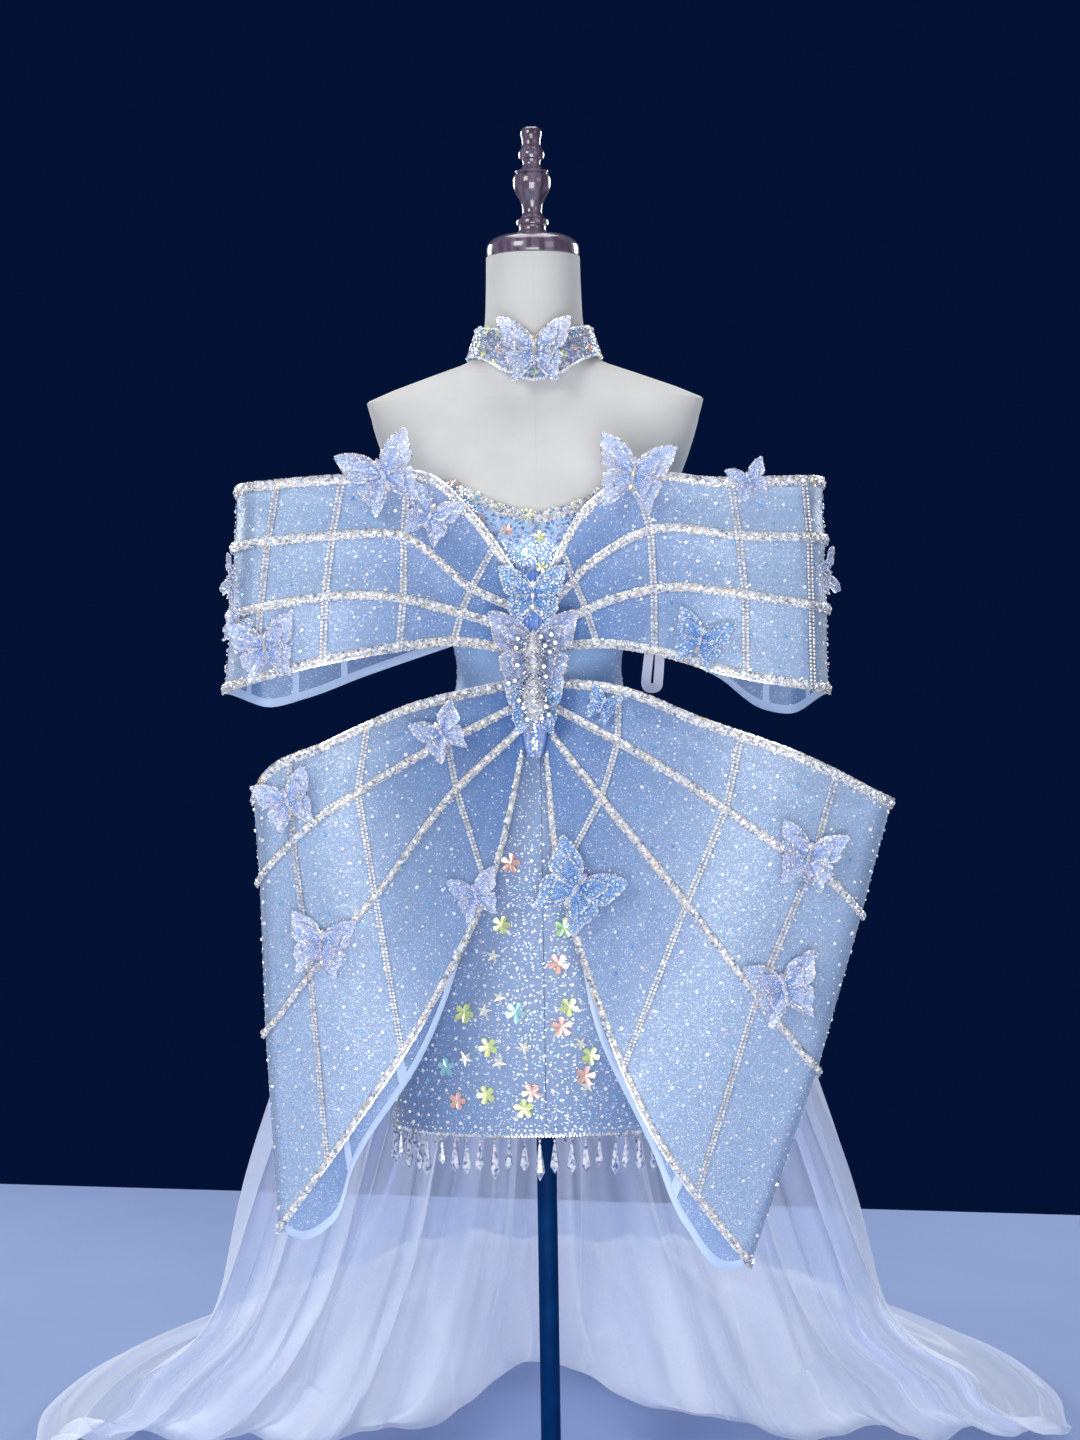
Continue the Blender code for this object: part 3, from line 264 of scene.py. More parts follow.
class ShaderTree:
    """A material's nodes while they are put together."""

    def __init__(self, name: str) -> None:
        """A new material with its principled shader."""
        self.material = bpy.data.materials.new(name)
        self.material.use_nodes = True
        self.tree = self.material.node_tree
        self.shader = self.tree.nodes["Principled BSDF"]
        self.place = self.add("TexCoord").outputs

    def add(self, kind: str, sockets: dict | None = None, **settings: object) -> bpy.types.Node:
        """A node of a kind.

        Args:
            kind: its type's name after "ShaderNode".
            sockets: values or other nodes' outputs, by input name or number.
            **settings: the node's own settings.

        Returns:
            The node.
        """
        node = self.tree.nodes.new("ShaderNode" + kind)
        for key, value in settings.items():
            setattr(node, key, value)
        self.put(node, sockets or {})
        return node

    def put(self, node: bpy.types.Node, sockets: dict) -> None:
        """Set a node's inputs to values, or link them to other nodes' outputs."""
        for socket, value in sockets.items():
            given = node.inputs[socket]
            if isinstance(value, Socket):
                self.tree.links.new(value, given)
            elif given.type == "RGBA" and len(value) == 3:
                given.default_value = (*value, 1.0)
            else:
                given.default_value = value

    def finish(self, sockets: dict) -> Material:
        """Set the shader's own sockets and give the material."""
        self.put(self.shader, sockets)
        return self.material

    def calc(self, operation: str, first: Value, second: Value = 0.0,
             clamp: bool = False) -> Socket:
        """One step of arithmetic on values or outputs."""
        sockets = {0: first, 1: second}
        return self.add("Math", sockets, operation=operation, use_clamp=clamp).outputs[0]

    def times(self, first: Value, second: Value) -> Socket:
        """The product of two values or outputs."""
        return self.calc("MULTIPLY", first, second)

    def plus(self, first: Value, second: Value, clamp: bool = False) -> Socket:
        """The sum of two values or outputs."""
        return self.calc("ADD", first, second, clamp)

    def noise(self, scale: float, detail: float = 2, place: Socket | None = None) -> Socket:
        """A noise pattern's grey output, on the object's own coordinates unless told otherwise."""
        place = place or self.place["Object"]
        return self.add("TexNoise", {"Vector": place, "Scale": scale, "Detail": detail}).outputs[0]

    def wave(self, scale: float, distortion: float, direction: str) -> Socket:
        """A weave's or knit's waves."""
        return self.add(
            "TexWave", {"Vector": self.place["Object"], "Scale": scale, "Distortion": distortion},
            bands_direction=direction,
        ).outputs[1]

    def mapped(self, place: str, **sockets: object) -> Socket:
        """A coordinate moved or scaled."""
        return self.add("Mapping", {"Vector": self.place[place], **sockets}).outputs[0]

    def ramp(self, value: Socket, stops: Sequence[tuple[float, Colour]],
             steps: bool = False) -> Socket:
        """A colour picked from a row of stops, eased between them or in steps."""
        node = self.add("ValToRGB", {0: value})
        scale = node.color_ramp
        scale.interpolation = "CONSTANT" if steps else "LINEAR"
        for i, (place, colour) in enumerate(stops):
            stop = scale.elements[i] if i < 2 else scale.elements.new(place)
            stop.position, stop.color = place, (*colour, 1.0)
        return node.outputs[0]

    def mix(self, share: Value, first: Socket | Colour, second: Socket | Colour) -> Socket:
        """A colour between two."""
        node = self.add("Mix", data_type="RGBA")
        self.put(node, {0: share, 6: first, 7: second})
        return node.outputs[2]

    def flakes(self, size: float, share: Value, radius: float = 0.42) -> tuple[Socket, Socket]:
        """Round flakes of glitter.

        Args:
            size: distance between flakes in metres.
            share: share of the cells that hold one, a number or an output.
            radius: a flake's radius in cells.

        Returns:
            The flakes' mask and a random grey of each.
        """
        cells = self.add("TexVoronoi", {"Vector": self.place["Object"], "Scale": 1 / size})
        parts = self.add("SeparateColor", {0: cells.outputs["Color"]})
        near = self.calc("LESS_THAN", cells.outputs["Distance"], radius)
        chosen = self.calc("LESS_THAN", parts.outputs[0], share)
        return self.times(near, chosen), parts.outputs[1]

    def bump(self, height: Socket, strength: float, distance: float) -> Socket:
        """A bump's normal output."""
        sockets = {"Height": height, "Strength": strength, "Distance": distance}
        return self.add("Bump", sockets).outputs[0]


@dataclass(frozen=True)
class FormCover:
    """The form's stretch cover: fine knit, a little uneven, with a centre seam."""

    name: str = "form_cover_knit"
    colour: Colour = rgb(211, 210, 207)
    shade: Colour = rgb(197, 195, 192)

    def build(self) -> Material:
        """The material."""
        t = ShaderTree(self.name)
        tone = t.ramp(t.noise(9, 4), [(0.3, self.shade), (0.7, self.colour)])
        x = t.add("SeparateXYZ", {0: t.place["Object"]}).outputs[0]
        seam = t.calc("LESS_THAN", t.calc("ABSOLUTE", x), 0.0007)
        knit = t.wave(420.0, 1.5, "Z")
        height = t.calc("SUBTRACT", t.times(knit, 0.25), seam)
        return t.finish({
            "Base Color": t.mix(t.times(seam, 0.35), tone, self.shade),
            "Roughness": 0.82, "Sheen Weight": 0.25, "Normal": t.bump(height, 0.25, 0.0006),
        })


@dataclass(frozen=True)
class TurnedWood:
    """Dark stained and lacquered wood with its grain along the height."""

    name: str = "finial_lacquered_wood"
    dark: Colour = rgb(70, 60, 74)
    light: Colour = rgb(120, 106, 124)

    def build(self) -> Material:
        """The material."""
        t = ShaderTree(self.name)
        grain = t.noise(2.2, 6, t.mapped("Object", Scale=(60, 60, 7)))
        return t.finish({
            "Base Color": t.ramp(grain, [(0.35, self.dark), (0.65, self.light)]),
            "Roughness": 0.22, "Coat Weight": 0.8, "Coat Roughness": 0.08,
            "Normal": t.bump(grain, 0.08, 0.0005),
        })


@dataclass(frozen=True)
class StandPaint:
    """Satin black paint with a faint orange peel and dust, coloured navy: a painted reflection of
    blue light.
    """

    name: str = "stand_satin_paint_painted_blue_reflection"
    # colour and the lighter dusty tone are navy: painted blue light reflected by the black paint;
    # the lighter tone also makes the random dust patches
    colour: Colour = rgb(1, 46, 92)
    dust_and_blue_reflection: Colour = rgb(3, 58, 106)

    def build(self) -> Material:
        """The material."""
        t = ShaderTree(self.name)
        tone = t.ramp(t.noise(35, 5), [(0.45, self.colour), (0.8, self.dust_and_blue_reflection)])
        return t.finish({
            "Base Color": tone, "Roughness": 0.55, "Specular IOR Level": 0.05,
            "Normal": t.bump(t.noise(900, 1), 0.06, 0.0002),
        })


@dataclass(frozen=True)
class Satin:
    """Woven satin, with fine glitter where it has any."""

    name: str
    colour: Colour
    shade: Colour
    glitter: float = 0.0
    sheen: float = 0.3

    def build(self) -> Material:
        """The material."""
        t = ShaderTree(self.name)
        tone = t.ramp(t.noise(7, 3), [(0.35, self.shade), (0.65, self.colour)])
        weave = t.wave(700.0, 0.4, "DIAGONAL")
        mask, grey = t.flakes(0.0016, self.glitter)
        tone = t.mix(mask, tone, t.ramp(grey, [(0.2, rgb(205, 222, 250)), (0.8, WHITE)]))
        return t.finish({
            "Base Color": tone, "Roughness": 0.42, "Sheen Weight": self.sheen,
            "Normal": t.bump(weave, 0.12, 0.0003), "Metallic": t.times(mask, 0.5),
        })


@dataclass(frozen=True)
class Organza:
    """Sheer stiff organza with glued glitter, darker and bluer near the knot: painted shade of the
    gathered loops there.

    u runs from the knot to the outer edge.
    """

    name: str
    # inner, the darker blue by the knot, is painted shade; outer is the paler colour towards the
    # edge
    inner: Colour = rgb(78, 124, 190)
    outer: Colour = rgb(162, 186, 218)
    film: float = 0.56
    glitter: float = 0.34

    def build(self) -> Material:
        """The material."""
        t = ShaderTree(self.name)
        u = t.add("SeparateXYZ", {0: t.place["UV"]}).outputs[0]
        cloud = t.noise(6, 3)
        # darker towards the knot: painted shade
        tone = t.ramp(t.plus(u, t.times(cloud, 0.3)), [(0.12, self.inner), (0.75, self.outer)])
        patches = t.plus(t.times(u, 0.9), t.calc("SUBTRACT", cloud, 0.25))
        patches = t.times(patches, self.glitter)
        fine, fine_grey = t.flakes(0.0010, patches)
        grain, grain_grey = t.flakes(0.0020, t.times(patches, 0.9), 0.35)
        coarse, coarse_grey = t.flakes(0.0032, t.times(patches, 0.24), 0.28)
        spark = t.ramp(fine_grey, [(0.0, rgb(200, 222, 255)), (0.7, WHITE)])
        glint = t.ramp(grain_grey, [(0.0, rgb(126, 168, 222)), (0.45, rgb(214, 232, 252)),
                                    (0.9, WHITE)])
        bright = t.ramp(coarse_grey, [(0.0, rgb(110, 190, 240)), (0.25, WHITE)], steps=True)
        tone = t.mix(t.times(fine, 0.5), tone, spark)
        tone = t.mix(coarse, t.mix(t.times(grain, 0.6), tone, glint), bright)
        both = t.calc("MAXIMUM", t.calc("MAXIMUM", fine, grain), coarse)
        film = t.plus(t.times(t.noise(1400, 0), 0.12), self.film - 0.06)
        return t.finish({
            "Base Color": tone, "Roughness": 0.38, "Sheen Weight": 0.4,
            "Metallic": t.times(both, 0.35),
            "Alpha": t.calc("MAXIMUM", film, t.times(both, 0.8)),
            "Normal": t.bump(t.plus(both, t.times(cloud, 3.0)), 0.3, 0.0004),
        })


@dataclass(frozen=True)
class GlitterTape:
    """Tape crusted with silver glitter of mixed warm and cool tones, with painted shade among its
    flakes.
    """

    name: str = "silver_glitter_tape"
    # dark is painted shade among the flakes; cool, warm and light are the glitter's own tones
    dark: Colour = rgb(112, 122, 146)
    cool: Colour = rgb(178, 186, 204)
    warm: Colour = rgb(216, 206, 190)
    light: Colour = rgb(244, 238, 230)

    def build(self) -> Material:
        """The material."""
        t = ShaderTree(self.name)
        cells = t.add("TexVoronoi", {"Vector": t.place["Object"], "Scale": 620.0})
        parts = t.add("SeparateColor", {0: cells.outputs["Color"]})
        tone = t.ramp(parts.outputs[0], [
            (0.0, self.dark), (0.4, self.cool), (0.75, self.warm), (1.0, self.light),
        ])
        return t.finish({
            "Base Color": tone, "Metallic": 0.15, "Roughness": 0.5,
            "Normal": t.bump(parts.outputs[1], 0.9, 0.0006),
        })


@dataclass(frozen=True)
class Stones:
    """Foil-backed stones, beads and sequins: each takes its colour from its own tint; in the silver
    beads' palettes a dark step is painted shade.
    """

    name: str
    metal: float
    rough: float
    palette: tuple[tuple[float, Colour], ...]
    film: float = 0.0

    def build(self) -> Material:
        """The material."""
        t = ShaderTree(self.name)
        tint = t.add("Attribute", attribute_name="tint").outputs["Fac"]
        tone = t.ramp(tint, self.palette, steps=True)
        tone = t.mix(t.times(t.noise(500, 1), 0.25), tone, WHITE)
        return t.finish({
            "Base Color": tone, "Metallic": self.metal, "Roughness": self.rough,
            "Coat Weight": 0.5, "Coat Roughness": 0.05, "Thin Film Thickness": self.film,
            "Thin Film IOR": 1.5,
        })


@dataclass(frozen=True)
class WingCloth:
    """Butterfly wings of glitter organza, paler at the rim. u runs from the body to the rim."""

    name: str
    inner: Colour
    outer: Colour
    glitter: float
    film: float

    def build(self) -> Material:
        """The material."""
        t = ShaderTree(self.name)
        u, v = t.add("SeparateXYZ", {0: t.place["UV"]}).outputs[:2]
        tone = t.ramp(u, [(0.25, self.inner), (0.9, self.outer)])
        veins = t.calc("LESS_THAN", t.calc("ABSOLUTE", t.calc("SINE", t.times(v, 31.4))), 0.16)
        tone = t.mix(t.times(veins, 0.5), tone, rgb(238, 240, 252))
        mask, grey = t.flakes(0.0014, self.glitter)
        tone = t.mix(mask, tone, t.ramp(grey, [
            (0.0, rgb(150, 205, 245)), (0.3, rgb(240, 235, 255)), (0.9, WHITE),
        ]))
        return t.finish({
            "Base Color": tone, "Roughness": 0.35, "Sheen Weight": 0.3,
            "Metallic": t.times(mask, 0.3), "Alpha": t.calc("MAXIMUM", self.film, mask),
            "Normal": t.bump(t.plus(mask, t.times(veins, 1.5)), 0.4, 0.0005),
        })


@dataclass(frozen=True)
class CrystalGlass:
    """Clear faceted glass, its colour painted with dark and white glints of refraction and
    reflection.
    """

    name: str = "crystal_drop_glass_painted_glints"
    # stops: painted glints, from dark blue-grey through white
    stops: tuple = ((0.34, rgb(118, 134, 178)), (0.46, rgb(212, 218, 242)),
                    (0.62, rgb(255, 255, 255)))

    def build(self) -> Material:
        """The material."""
        t = ShaderTree(self.name)
        # the colour's fine noise patches are painted glints, dark and white
        return t.finish({
            "Base Color": t.ramp(t.noise(220, 1), self.stops), "Roughness": 0.06,
            "Transmission Weight": 0.25, "IOR": 1.5, "Specular IOR Level": 0.6,
            "Coat Weight": 0.5, "Coat Roughness": 0.03,
        })


@dataclass(frozen=True)
class Tulle:
    """Very sheer tulle: a fine net, denser where layers lap, along creases and on folds' flanks."""

    name: str = "train_tulle"
    colour: Colour = rgb(238, 243, 255)
    shade: Colour = rgb(218, 228, 254)
    film: float = 0.35

    def build(self) -> Material:
        """The material."""
        t = ShaderTree(self.name)
        streaks = t.noise(2.0, 1.5, t.mapped("UV", Scale=(17, 0.9, 1)))
        dense = t.add("Attribute", attribute_name="dense").outputs["Fac"]
        net = t.add("TexVoronoi", {"Vector": t.place["Object"], "Scale": 700.0},
                    feature="DISTANCE_TO_EDGE").outputs["Distance"]
        thread = t.calc("LESS_THAN", net, 0.12)
        place = t.mapped("UV", Location=(3.1, 0.4, 0), Scale=(12, 1.3, 1))
        lap = t.calc("SUBTRACT", t.noise(1.7, 0.6, place), 0.5)
        layer = t.plus(t.times(lap, 26.0), 0.5, clamp=True)
        crease = t.calc("SUBTRACT", 1.0, t.times(t.calc("ABSOLUTE", lap), 60.0), clamp=True)
        laps = t.plus(t.times(layer, 0.10), t.times(crease, 0.20))
        film = t.plus(t.plus(t.times(streaks, 0.16), self.film), laps)
        film = t.plus(t.plus(film, t.times(dense, 0.34)), t.times(thread, 0.12), clamp=True)
        return t.finish({
            "Base Color": t.ramp(streaks, [(0.3, self.shade), (0.7, self.colour)]),
            "Roughness": 0.6, "Sheen Weight": 0.6, "Alpha": film,
        })


@dataclass(frozen=True)
class FloorPaint:
    """The studio's plain pale floor."""

    name: str = "studio_floor"
    shade: Colour = rgb(140, 158, 200)
    colour: Colour = rgb(146, 164, 206)

    def build(self) -> Material:
        """The material."""
        t = ShaderTree(self.name)
        tone = t.ramp(t.noise(2, 2), [(0.3, self.shade), (0.7, self.colour)])
        return t.finish({"Base Color": tone, "Roughness": 0.8})


WHITE, ICE, AQUA = rgb(255, 255, 255), rgb(214, 230, 252), rgb(92, 178, 236)
LILAC, CHAMPAGNE, DEEP = rgb(222, 214, 250), rgb(244, 224, 196), rgb(70, 150, 218)


class Finish(Protocol):
    """What every finish can do."""

    def build(self) -> Material:
        """The material."""


def material(finish: Finish) -> Material:
    """A field that holds a finish's material, built with the wardrobe."""
    return field(default_factory=finish.build)


@dataclass
class Wardrobe:
    """Every finish of the dress, made once."""

    cover: Material = material(FormCover())
    wood: Material = material(TurnedWood())
    paint: Material = material(StandPaint())
    # the bodice's satin: the skirt's cloth in a copy painted lighter, against the shade that the
    # bow's loops cast over the waist
    satin: Material = material(Satin(
        "bodice_glitter_satin_painted_lighter", rgb(164, 196, 234), rgb(146, 180, 224), 0.10))
    # the skirt's satin: the same cloth as the bodice's, without the painted lightening
    skirt_satin: Material = material(Satin(
        "skirt_glitter_satin", rgb(124, 146, 182), rgb(106, 132, 174), 0.14))
    pleats: Material = material(Satin(
        "knot_pleated_satin", rgb(120, 156, 220), rgb(88, 130, 204), 0.06))
    casing: Material = material(Satin(
        "casing_pale_satin", rgb(202, 220, 244), rgb(182, 204, 238), 0.0, 0.5))
    ribbon: Material = material(Satin(
        "hanger_ribbon_satin", rgb(240, 240, 250), rgb(222, 224, 244), 0.0, 0.6))
    front: Material = material(Organza("bow_front_organza"))
    back: Material = material(Organza(
        "bow_back_organza", outer=rgb(138, 172, 218), film=0.52, glitter=0.22))
    tape: Material = material(GlitterTape())
    braid: Material = material(GlitterTape(
        "double_row_braid", rgb(112, 124, 152), rgb(146, 156, 180), rgb(172, 170, 176),
        rgb(202, 202, 206)))
    row_stones: Material = material(Stones("double_row_rhinestones", 0.25, 0.36, (
        (0.0, rgb(226, 228, 236)), (0.3, rgb(176, 182, 196)), (0.55, rgb(222, 210, 192)),
        (0.8, rgb(242, 242, 246)))))
    stones: Material = material(Stones("clear_and_aqua_stones", 0.12, 0.1, (
        (0.0, WHITE), (0.58, ICE), (0.78, AQUA), (0.91, DEEP), (0.95, LILAC))))
    crust: Material = material(Stones("silver_lilac_stones", 0.4, 0.16, (
        (0.0, rgb(214, 218, 234)), (0.3, rgb(156, 166, 198)), (0.55, LILAC),
        (0.68, rgb(112, 128, 172)), (0.84, rgb(238, 240, 250)), (0.94, AQUA))))
    # the dark blue-grey step is painted shade, for the dark gaps among the beads
    silver: Material = material(Stones("silver_seed_beads", 0.4, 0.14, (
        (0.0, rgb(244, 245, 250)), (0.28, rgb(208, 212, 224)), (0.5, rgb(140, 150, 174)),
        (0.62, rgb(238, 218, 190)), (0.86, WHITE))))
    # the dark blue-grey step is painted shade, for the dark gaps among the beads
    jewels: Material = material(Stones("polished_silver_beads", 0.5, 0.12, (
        (0.0, rgb(238, 240, 248)), (0.34, rgb(158, 168, 192)), (0.56, rgb(214, 208, 206)),
        (0.72, rgb(112, 126, 162)), (0.84, WHITE))))
    sequins: Material = material(Stones("iridescent_sequins", 0.35, 0.18, (
        (0.0, rgb(228, 242, 150)), (0.3, rgb(246, 186, 168)), (0.55, rgb(160, 222, 226)),
        (0.75, rgb(190, 236, 170)), (0.9, rgb(244, 240, 226))), 420.0))
    knot_stones: Material = material(Stones("knot_crystals", 0.5, 0.08, (
        (0.0, WHITE), (0.55, LILAC), (0.75, CHAMPAGNE), (0.9, AQUA))))
    lilac_wing: Material = material(WingCloth(
        "lilac_wing_organza", rgb(134, 166, 226), rgb(206, 216, 246), 0.42, 0.44))
    blue_wing: Material = material(WingCloth(
        "blue_wing_organza", rgb(84, 142, 214), rgb(138, 182, 232), 0.26, 0.40))
    white_wing: Material = material(WingCloth(
        "white_wing_organza", rgb(112, 136, 188), rgb(172, 184, 220), 0.3, 0.55))
    glass: Material = material(CrystalGlass())
    tulle: Material = material(Tulle())


# ------------------------------------------------------------------ repeated stones

class Cut(Enum):
    """The shapes of bead, stone and sequin that are sewn on."""

    BEAD = "bead"
    CHATON = "chaton"
    BUGLE = "bugle"
    MARQUISE = "marquise"
    FLOWER = "flower"
    STAR = "star"


class StoneTray:
    """One small mesh of each cut for the trees to repeat, 1 unit across and flat on XY."""

    def __init__(self) -> None:
        """Make the six cuts."""
        self.pieces = {
            Cut.BEAD: self.dome(5, ((0.05, 0.42), (0.55, 0.36))),
            Cut.CHATON: self.dome(5, ((0.0, 0.50), (0.36, 0.27))),
            Cut.BUGLE: self.dome(3, ((0.0, 0.26), (0.38, 0.16)), stretch=2.4),
            Cut.MARQUISE: self.dome(6, ((0.0, 0.26), (0.16, 0.24), (0.34, 0.10)), stretch=2.1),
            Cut.FLOWER: self.petals(
                4, lambda turn: 0.24 + 0.26 * np.abs(np.cos(turn * 2.5)) ** 0.5),
            Cut.STAR: self.petals(2, lambda turn: np.tile([0.5, 0.2], 5)),
        }

    @staticmethod
    def dome(around: int, rings: Sequence[tuple[float, float]], stretch: float = 1.0) -> Piece:
        """A faceted stone through rings of (height, radius), stretched along X."""
        points = [(stretch * r * math.cos(a), r * math.sin(a), z)
                  for z, r in rings for a in turns(around)]
        return make_piece("template", (points, capped_faces(len(rings), around)), sharp=0)

    @staticmethod
    def petals(parts: int, reach: Callable[[Array], Array]) -> Piece:
        """A thin flat sequin dished at its middle.

        Args:
            parts: rim points to each of its five petals or points.
            reach: gives the rim's reach at each angle.

        Returns:
            The hidden mesh to repeat.
        """
        turn = turns(5 * parts)
        steps = len(turn)
        rim = [(r * math.cos(a), r * math.sin(a), 0.12) for r, a in zip(reach(turn), turn)]
        low = [(x, y, z - 0.06) for x, y, z in rim]
        points = [*rim, *low, (0, 0, 0.05), (0, 0, 0.0)]
        faces = []
        for i in range(steps):
            j = (i + 1) % steps
            faces += [(2 * steps, i, j), (2 * steps + 1, steps + j, steps + i),
                      (i, steps + i, steps + j, j)]
        return make_piece("template", (points, faces), sharp=0)

    def clear(self) -> None:
        """Remove the templates."""
        for piece in self.pieces.values():
            bpy.data.objects.remove(piece, do_unlink=True)


class RepeatTree:
    """A Geometry Nodes tree with named inputs, ending in Realize Instances and Set Material."""

    INPUTS = (
        ("Stone", "NodeSocketObject", None), ("Finish", "NodeSocketMaterial", None),
        ("Spacing", "NodeSocketFloat", 0.003), ("Smallest", "NodeSocketFloat", 0.002),
        ("Largest", "NodeSocketFloat", 0.003), ("Seed", "NodeSocketInt", 1),
        ("Tint low", "NodeSocketFloat", 0.0), ("Tint high", "NodeSocketFloat", 1.0),
        ("Spin", "NodeSocketFloat", 6.283),
    )

    def __init__(self, name: str) -> None:
        """A tree with its interface."""
        self.tree = bpy.data.node_groups.new(name, "GeometryNodeTree")
        face = self.tree.interface
        face.new_socket("Geometry", in_out="INPUT", socket_type="NodeSocketGeometry")
        for label, kind, default in self.INPUTS:
            socket = face.new_socket(label, in_out="INPUT", socket_type=kind)
            if default is not None:
                socket.default_value = default
        face.new_socket("Geometry", in_out="OUTPUT", socket_type="NodeSocketGeometry")
        self.start = self.add("NodeGroupInput")
        self.end = self.add("NodeGroupOutput")

    def add(self, kind: str, sockets: dict | None = None, **settings: object) -> bpy.types.Node:
        """A node with its settings, and its inputs by name or number set or linked."""
        node = self.tree.nodes.new(kind)
        for key, value in settings.items():
            setattr(node, key, value)
        for socket, value in (sockets or {}).items():
            if isinstance(value, Socket):
                self.tree.links.new(value, node.inputs[socket])
            else:
                node.inputs[socket].default_value = value
        return node

    def given(self, label: str) -> Socket:
        """One of the tree's inputs."""
        return self.start.outputs[label]

    def random(self, low: Value, high: Value, salt: int) -> Socket:
        """A random number for each place, from the tree's seed."""
        seed = self.add("ShaderNodeMath", {0: self.given("Seed"), 1: float(salt)}, operation="ADD")
        node = self.add("FunctionNodeRandomValue", {2: low, 3: high, 8: seed.outputs[0]},
                        data_type="FLOAT")
        return node.outputs[1]

    def set_stones(self, points: Socket, turn: Socket) -> None:
        """Put a stone on each point, facing as turn says, and finish the tree."""
        stone = self.add("GeometryNodeObjectInfo", {"Object": self.given("Stone")})
        spin = self.add("ShaderNodeCombineXYZ", {"Z": self.random(0.0, self.given("Spin"), 1)})
        own = self.add("FunctionNodeRotateRotation", {
            "Rotation": turn, "Rotate By": spin.outputs[0],
        }, rotation_space="LOCAL")
        size = self.random(self.given("Smallest"), self.given("Largest"), 2)
        placed = self.add("GeometryNodeInstanceOnPoints", {
            "Points": points, "Instance": stone.outputs["Geometry"], "Rotation": own.outputs[0],
            "Scale": size,
        })
        tint = self.random(self.given("Tint low"), self.given("Tint high"), 3)
        stored = self.add("GeometryNodeStoreNamedAttribute", {
            "Geometry": placed.outputs[0], "Name": "tint", "Value": tint,
        }, data_type="FLOAT", domain="INSTANCE")
        real = self.add("GeometryNodeRealizeInstances", {"Geometry": stored.outputs[0]})
        dressed = self.add("GeometryNodeSetMaterial", {
            "Geometry": real.outputs[0], "Material": self.given("Finish"),
        })
        self.tree.links.new(dressed.outputs[0], self.end.inputs[0])

    def run(self, host: Piece, values: dict) -> Piece:
        """Apply the tree to a host, which is then removed.

        Args:
            host: the surface or lines that carry the stones.
            values: the tree's inputs by name.

        Returns:
            The stones as a plain mesh.
        """
        modifier = host.modifiers.new("stones", "NODES")
        modifier.node_group = self.tree
        for item in self.tree.interface.items_tree:
            if item.in_out == "INPUT" and item.name in values:
                modifier[item.identifier] = values[item.name]
        host.update_tag()
        bpy.context.view_layer.update()
        depsgraph = bpy.context.evaluated_depsgraph_get()
        mesh = bpy.data.meshes.new_from_object(host.evaluated_get(depsgraph))
        host.modifiers.remove(modifier)
        bpy.data.objects.remove(host, do_unlink=True)
        return linked("stones", mesh)


class Sewing:
    """Sews stones onto surfaces and along lines."""

    DENSEST = 400000.0         # stones to the square metre before their spacing thins them

    def __init__(self, tray: StoneTray) -> None:
        """Build the two trees."""
        self.tray = tray
        self.scattered = RepeatTree("scattered_stones")
        t = self.scattered
        spread = t.add("GeometryNodeDistributePointsOnFaces", {
            "Mesh": t.given("Geometry"), "Distance Min": t.given("Spacing"),
            "Density Max": self.DENSEST, "Seed": t.given("Seed"),
        }, distribute_method="POISSON")
        t.set_stones(spread.outputs["Points"], spread.outputs["Rotation"])
        self.strung = RepeatTree("strung_stones")
        t = self.strung
        curve = t.add("GeometryNodeMeshToCurve", {"Mesh": t.given("Geometry")})
        evened = t.add("GeometryNodeCurveToPoints", {
            "Curve": curve.outputs[0], "Length": t.given("Spacing"),
        }, mode="LENGTH")
        out = t.add("GeometryNodeInputNamedAttribute", {"Name": "out"}, data_type="FLOAT_VECTOR")
        ahead = t.add("FunctionNodeAlignRotationToVector", {"Vector": evened.outputs["Tangent"]},
                      axis="X")
        turn = t.add("FunctionNodeAlignRotationToVector", {
            "Rotation": ahead.outputs[0], "Vector": out.outputs[0],
        }, axis="Z", pivot_axis="X")
        t.set_stones(evened.outputs["Points"], turn.outputs[0])

    def scatter(self, parts: Parts, *how: object, **more: object) -> Piece:
        """Stones all over a surface; how and more are as inputs takes them."""
        return self.scattered.run(make_piece("host", parts[:2]), self.inputs(*how, **more))

    def string(self, lines: Sequence[Line], *how: object, spin: float = 0.0) -> Piece:
        """Stones along lines.

        Args:
            lines: each line's points and their outward normals.
            *how: the stones, as inputs takes them.
            spin: the most that a stone is turned about its normal.

        Returns:
            The stones.
        """
        points, normals = (np.concatenate(rows) for rows in zip(*lines))
        edges, shift = [], 0
        for line, _ in lines:
            edges += [(shift + i, shift + i + 1) for i in range(len(line) - 1)]
            shift += len(line)
        mesh = bpy.data.meshes.new("host")
        mesh.from_pydata(points.tolist(), edges, [])
        out = mesh.attributes.new("out", "FLOAT_VECTOR", "POINT")
        out.data.foreach_set("vector", normals.astype(np.float32).ravel())
        return self.strung.run(linked("host", mesh), self.inputs(*how, spin=spin))

    def inputs(self, cut: Cut, finish: Material, spacing: float, sizes: tuple[float, float],
               seed: int, tints: tuple[float, float] = (0.0, 1.0), spin: float = 6.283) -> dict:
        """The trees' inputs by name.

        Args:
            cut: the stones' shape.
            finish: their material.
            spacing: their distance in mm.
            sizes: the smallest and the largest in mm.
            seed: picks their random places, turns, sizes and tints.
            tints: the lowest and highest tint, which pick their colours.
            spin: the most that a stone is turned about its normal.

        Returns:
            The inputs.
        """
        return {
            "Stone": self.tray.pieces[cut], "Finish": finish, "Spacing": spacing * MM,
            "Smallest": sizes[0] * MM, "Largest": sizes[1] * MM, "Seed": seed,
            "Tint low": tints[0], "Tint high": tints[1], "Spin": spin,
        }


ALONE = 1000                   # a spacing in mm that leaves one stone on a line


